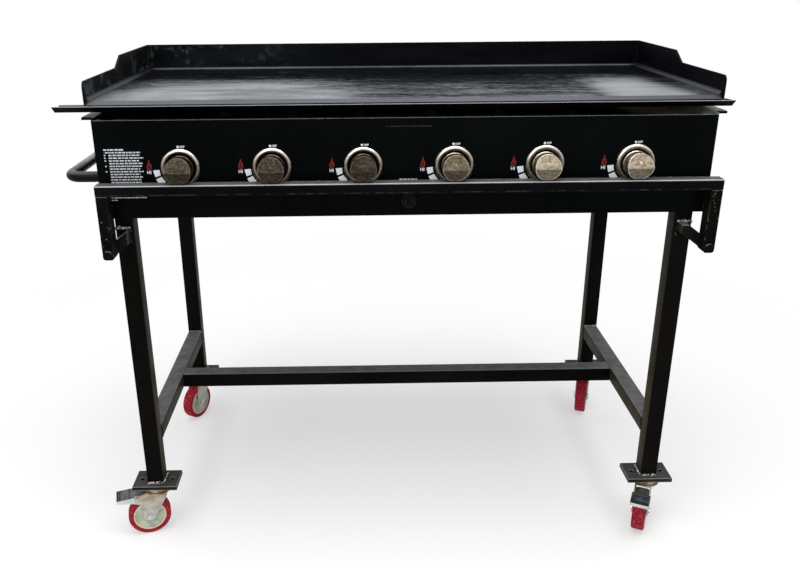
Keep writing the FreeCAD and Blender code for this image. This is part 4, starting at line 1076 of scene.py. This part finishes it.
RING_PROFILE = [(33.2, 11.2), (33.2, 13.6), (33.9, 14.3), (36.0, 14.3), (36.9, 13.4), (36.9, 11.2)]
COLLAR = [(8, 11.2), (12.4, 11.2), (13.2, 12.0), (12.6, 13.6), (8, 14.2)]
WASHER = [(5, 17.9), (8.4, 17.9), (8.4, 18.9), (5, 18.9)]
NUT = [(4.2, 18.8), (5.6, 18.8), (6.5, 19.2), (6.5, 20.9), (5.7, 21.3), (4.2, 21.3)]
BOLT_END = [(0, 15), (4.5, 15), (4.5, 21.8), (3.9, 22.3), (0, 22.4)]
AXLE = [(0, -18), (5, -18), (5, 18), (0, 18)]
RIBS = 6
FIRST_RIB = 14
RIB_LOW, RIB_HIGH = (11.5, -1.5, 11.0), (31.8, 1.5, 12.9)
JOINTS = {joint["name"]: joint for joint in frame["joints"]}


def caster_turn(corner):
    """A turn with X from kingpin to wheel, Y along the axle and Z up; the trail; the axle's height."""
    kingpin = Vector(JOINTS[corner + "_swivel"]["pos_m"])
    axle = Vector(JOINTS[corner + "_roll"]["pos_m"])
    trail = Vector((axle.x - kingpin.x, axle.y - kingpin.y, 0))
    ahead = trail.normalized()
    side = Vector((-ahead.y, ahead.x, 0))
    turn = Matrix((ahead, side, Vector((0, 0, 1)))).transposed()
    place = Matrix.Translation((kingpin.x, kingpin.y, 0))
    return place @ turn.to_4x4() @ TO_METRES, trail.length * 1000, axle.z * 1000


def make_caster_details():
    """On each wheel a raised ring, a collar and ribs on both sides, and an axle with nuts."""
    for corner in CORNERS:
        turn, trail, height = caster_turn(corner)
        wheel = turn @ Matrix.Translation((trail, 0, height))
        rings = bmesh.new()
        spokes = bmesh.new()
        axle = bmesh.new()
        for face in (-1, 1):
            outward = wheel @ Matrix.Rotation(math.radians(-90 * face), 4, "X")
            add_lathe(rings, RING_PROFILE, outward, 64)
            add_lathe(spokes, COLLAR, outward, 32)
            for number in range(RIBS):
                spin = Matrix.Rotation(math.radians(360 / RIBS * number + FIRST_RIB), 4, "Z")
                add_block(spokes, RIB_LOW, RIB_HIGH, outward @ spin, 0.6)
            add_lathe(axle, WASHER, outward, 32)
            add_lathe(axle, NUT, outward, 6)
            add_lathe(axle, BOLT_END, outward, 24)
        add_lathe(axle, AXLE, wheel @ Matrix.Rotation(math.radians(90), 4, "X"), 24)
        make_piece(corner + "_wheel_rings", rings, RING, corner + "_wheel")
        make_piece(corner + "_wheel_spokes", spokes, CORE, corner + "_wheel")
        make_piece(corner + "_axle_nuts", axle, BRIGHT, corner + "_fork", (corner + "_axle",))


# The pedal's tread falls from here by this slope; each dark strip of painted shade, where a slot in the tread
# is, has a start and a length along it.
TREAD_START = 55
TREAD_FALL = math.tan(math.radians(3))
TREAD_SLOT_SHADES = ((86.0, 2.6), (91.2, 2.8), (66.0, 1.6))
SLOT_SHADE_HALF_WIDTH = 18.6


def make_pedal_details():
    """Dark strips across the tread of each brake pedal: painted shade where its slots are."""
    for corner in FRONT_CORNERS:
        turn = caster_turn(corner)[0]
        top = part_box(corner + "_brake_pedal")[1].z * 1000
        shape = bmesh.new()
        for start, length in TREAD_SLOT_SHADES:
            level = top - (start - TREAD_START) * TREAD_FALL
            low = (start, -SLOT_SHADE_HALF_WIDTH, level - 0.9)
            add_block(shape, low, (start + length, SLOT_SHADE_HALF_WIDTH, level + 0.35), turn, 0.3)
        make_piece(corner + "_pedal_slot_shades", shape, PLASTIC, corner + "_pedal")


for node in TUBES:
    make_tube(node)
for width, nodes in SOFT_EDGES.items():
    for node in nodes:
        soften_node(node, width)
make_knobs()
make_dial_marks()
make_bare_notes()
make_welds()
make_tray_welds()
make_caster_details()
make_pedal_details()


# Camera

PHOTO_WIDTH, PHOTO_HEIGHT = 800, 584
# The focal length and the place where the camera's axis meets the photograph, in pixels.
FOCAL_LENGTH = 797.722
AXIS_ACROSS, AXIS_DOWN = 371.364, 269.880
CAMERA_PLACE = (-90.7, -1523.9, 1236.3)
CAMERA_YAW, CAMERA_PITCH, CAMERA_ROLL = 0.80, 20.66, -0.457
SENSOR_WIDTH = 36.0


def set_camera():
    """A camera where the photograph was taken from."""
    yaw, pitch, roll = (math.radians(angle) for angle in (CAMERA_YAW, CAMERA_PITCH, CAMERA_ROLL))
    ahead = Vector((math.sin(yaw) * math.cos(pitch), math.cos(yaw) * math.cos(pitch), -math.sin(pitch)))
    right = Vector((math.cos(yaw), -math.sin(yaw), 0.0))
    up = right.cross(ahead)
    right, up = math.cos(roll) * right + math.sin(roll) * up, math.cos(roll) * up - math.sin(roll) * right
    data = bpy.data.cameras.new("camera")
    data.sensor_fit = "HORIZONTAL"
    data.sensor_width = SENSOR_WIDTH
    data.lens = FOCAL_LENGTH / PHOTO_WIDTH * SENSOR_WIDTH
    data.shift_x = (PHOTO_WIDTH / 2 - AXIS_ACROSS) / PHOTO_WIDTH
    data.shift_y = (AXIS_DOWN - PHOTO_HEIGHT / 2) / PHOTO_WIDTH
    data.clip_end = 100.0
    camera = show("camera", data)
    turn = Matrix((right, up, -ahead)).transposed()
    camera.matrix_world = Matrix.Translation(at(*CAMERA_PLACE)) @ turn.to_4x4()
    bpy.context.scene.camera = camera


# Light and floor, in metres and watts

OVERHEAD_POWER = 90
FRONT_FILL_POWER = 30
# How strongly the world lights the object; where it is seen its strength is 1.
WORLD_LIGHT = 0.55
FLOOR_RADIUS = 40.0


def soft_light(name, place, target, size, power):
    """An area lamp at a place, turned to a target."""
    data = bpy.data.lights.new(name, "AREA")
    data.shape = "RECTANGLE"
    data.size, data.size_y = size
    data.energy = power
    light = show(name, data)
    way = (Vector(target) - Vector(place)).to_track_quat("-Z", "Y")
    light.matrix_world = Matrix.Translation(place) @ way.to_matrix().to_4x4()


def set_world():
    """White for the camera and for reflections, a plain level for light on the object."""
    world = bpy.data.worlds.new("studio")
    bpy.context.scene.world = world
    world.use_nodes = True
    graph = Graph(world.node_tree)
    back = graph.tree.nodes["Background"]
    graph.feed(back.inputs["Color"], (1.0, 1.0, 1.0))
    graph.feed(back.inputs["Strength"], graph.ramp(graph.seen(), 0.0, 1.0, WORLD_LIGHT, 1.0))


def make_floor():
    """A pale disc that keeps the shadow near the object."""
    mesh = bpy.data.meshes.new("floor")
    shape = bmesh.new()
    bmesh.ops.create_circle(shape, cap_ends=True, radius=FLOOR_RADIUS, segments=96)
    shape.to_mesh(mesh)
    shape.free()
    mesh.materials.append(floor_white())
    show("floor", mesh)


set_camera()
soft_light("overhead", (0.0, -0.5, 3.0), (0.0, 0.0, 0.5), (3.0, 2.0), OVERHEAD_POWER)
soft_light("front_fill", (-1.6, -3.2, 2.2), (0.0, 0.0, 0.6), (2.0, 1.5), FRONT_FILL_POWER)
set_world()
make_floor()
bpy.context.scene.view_settings.view_transform = "Standard"
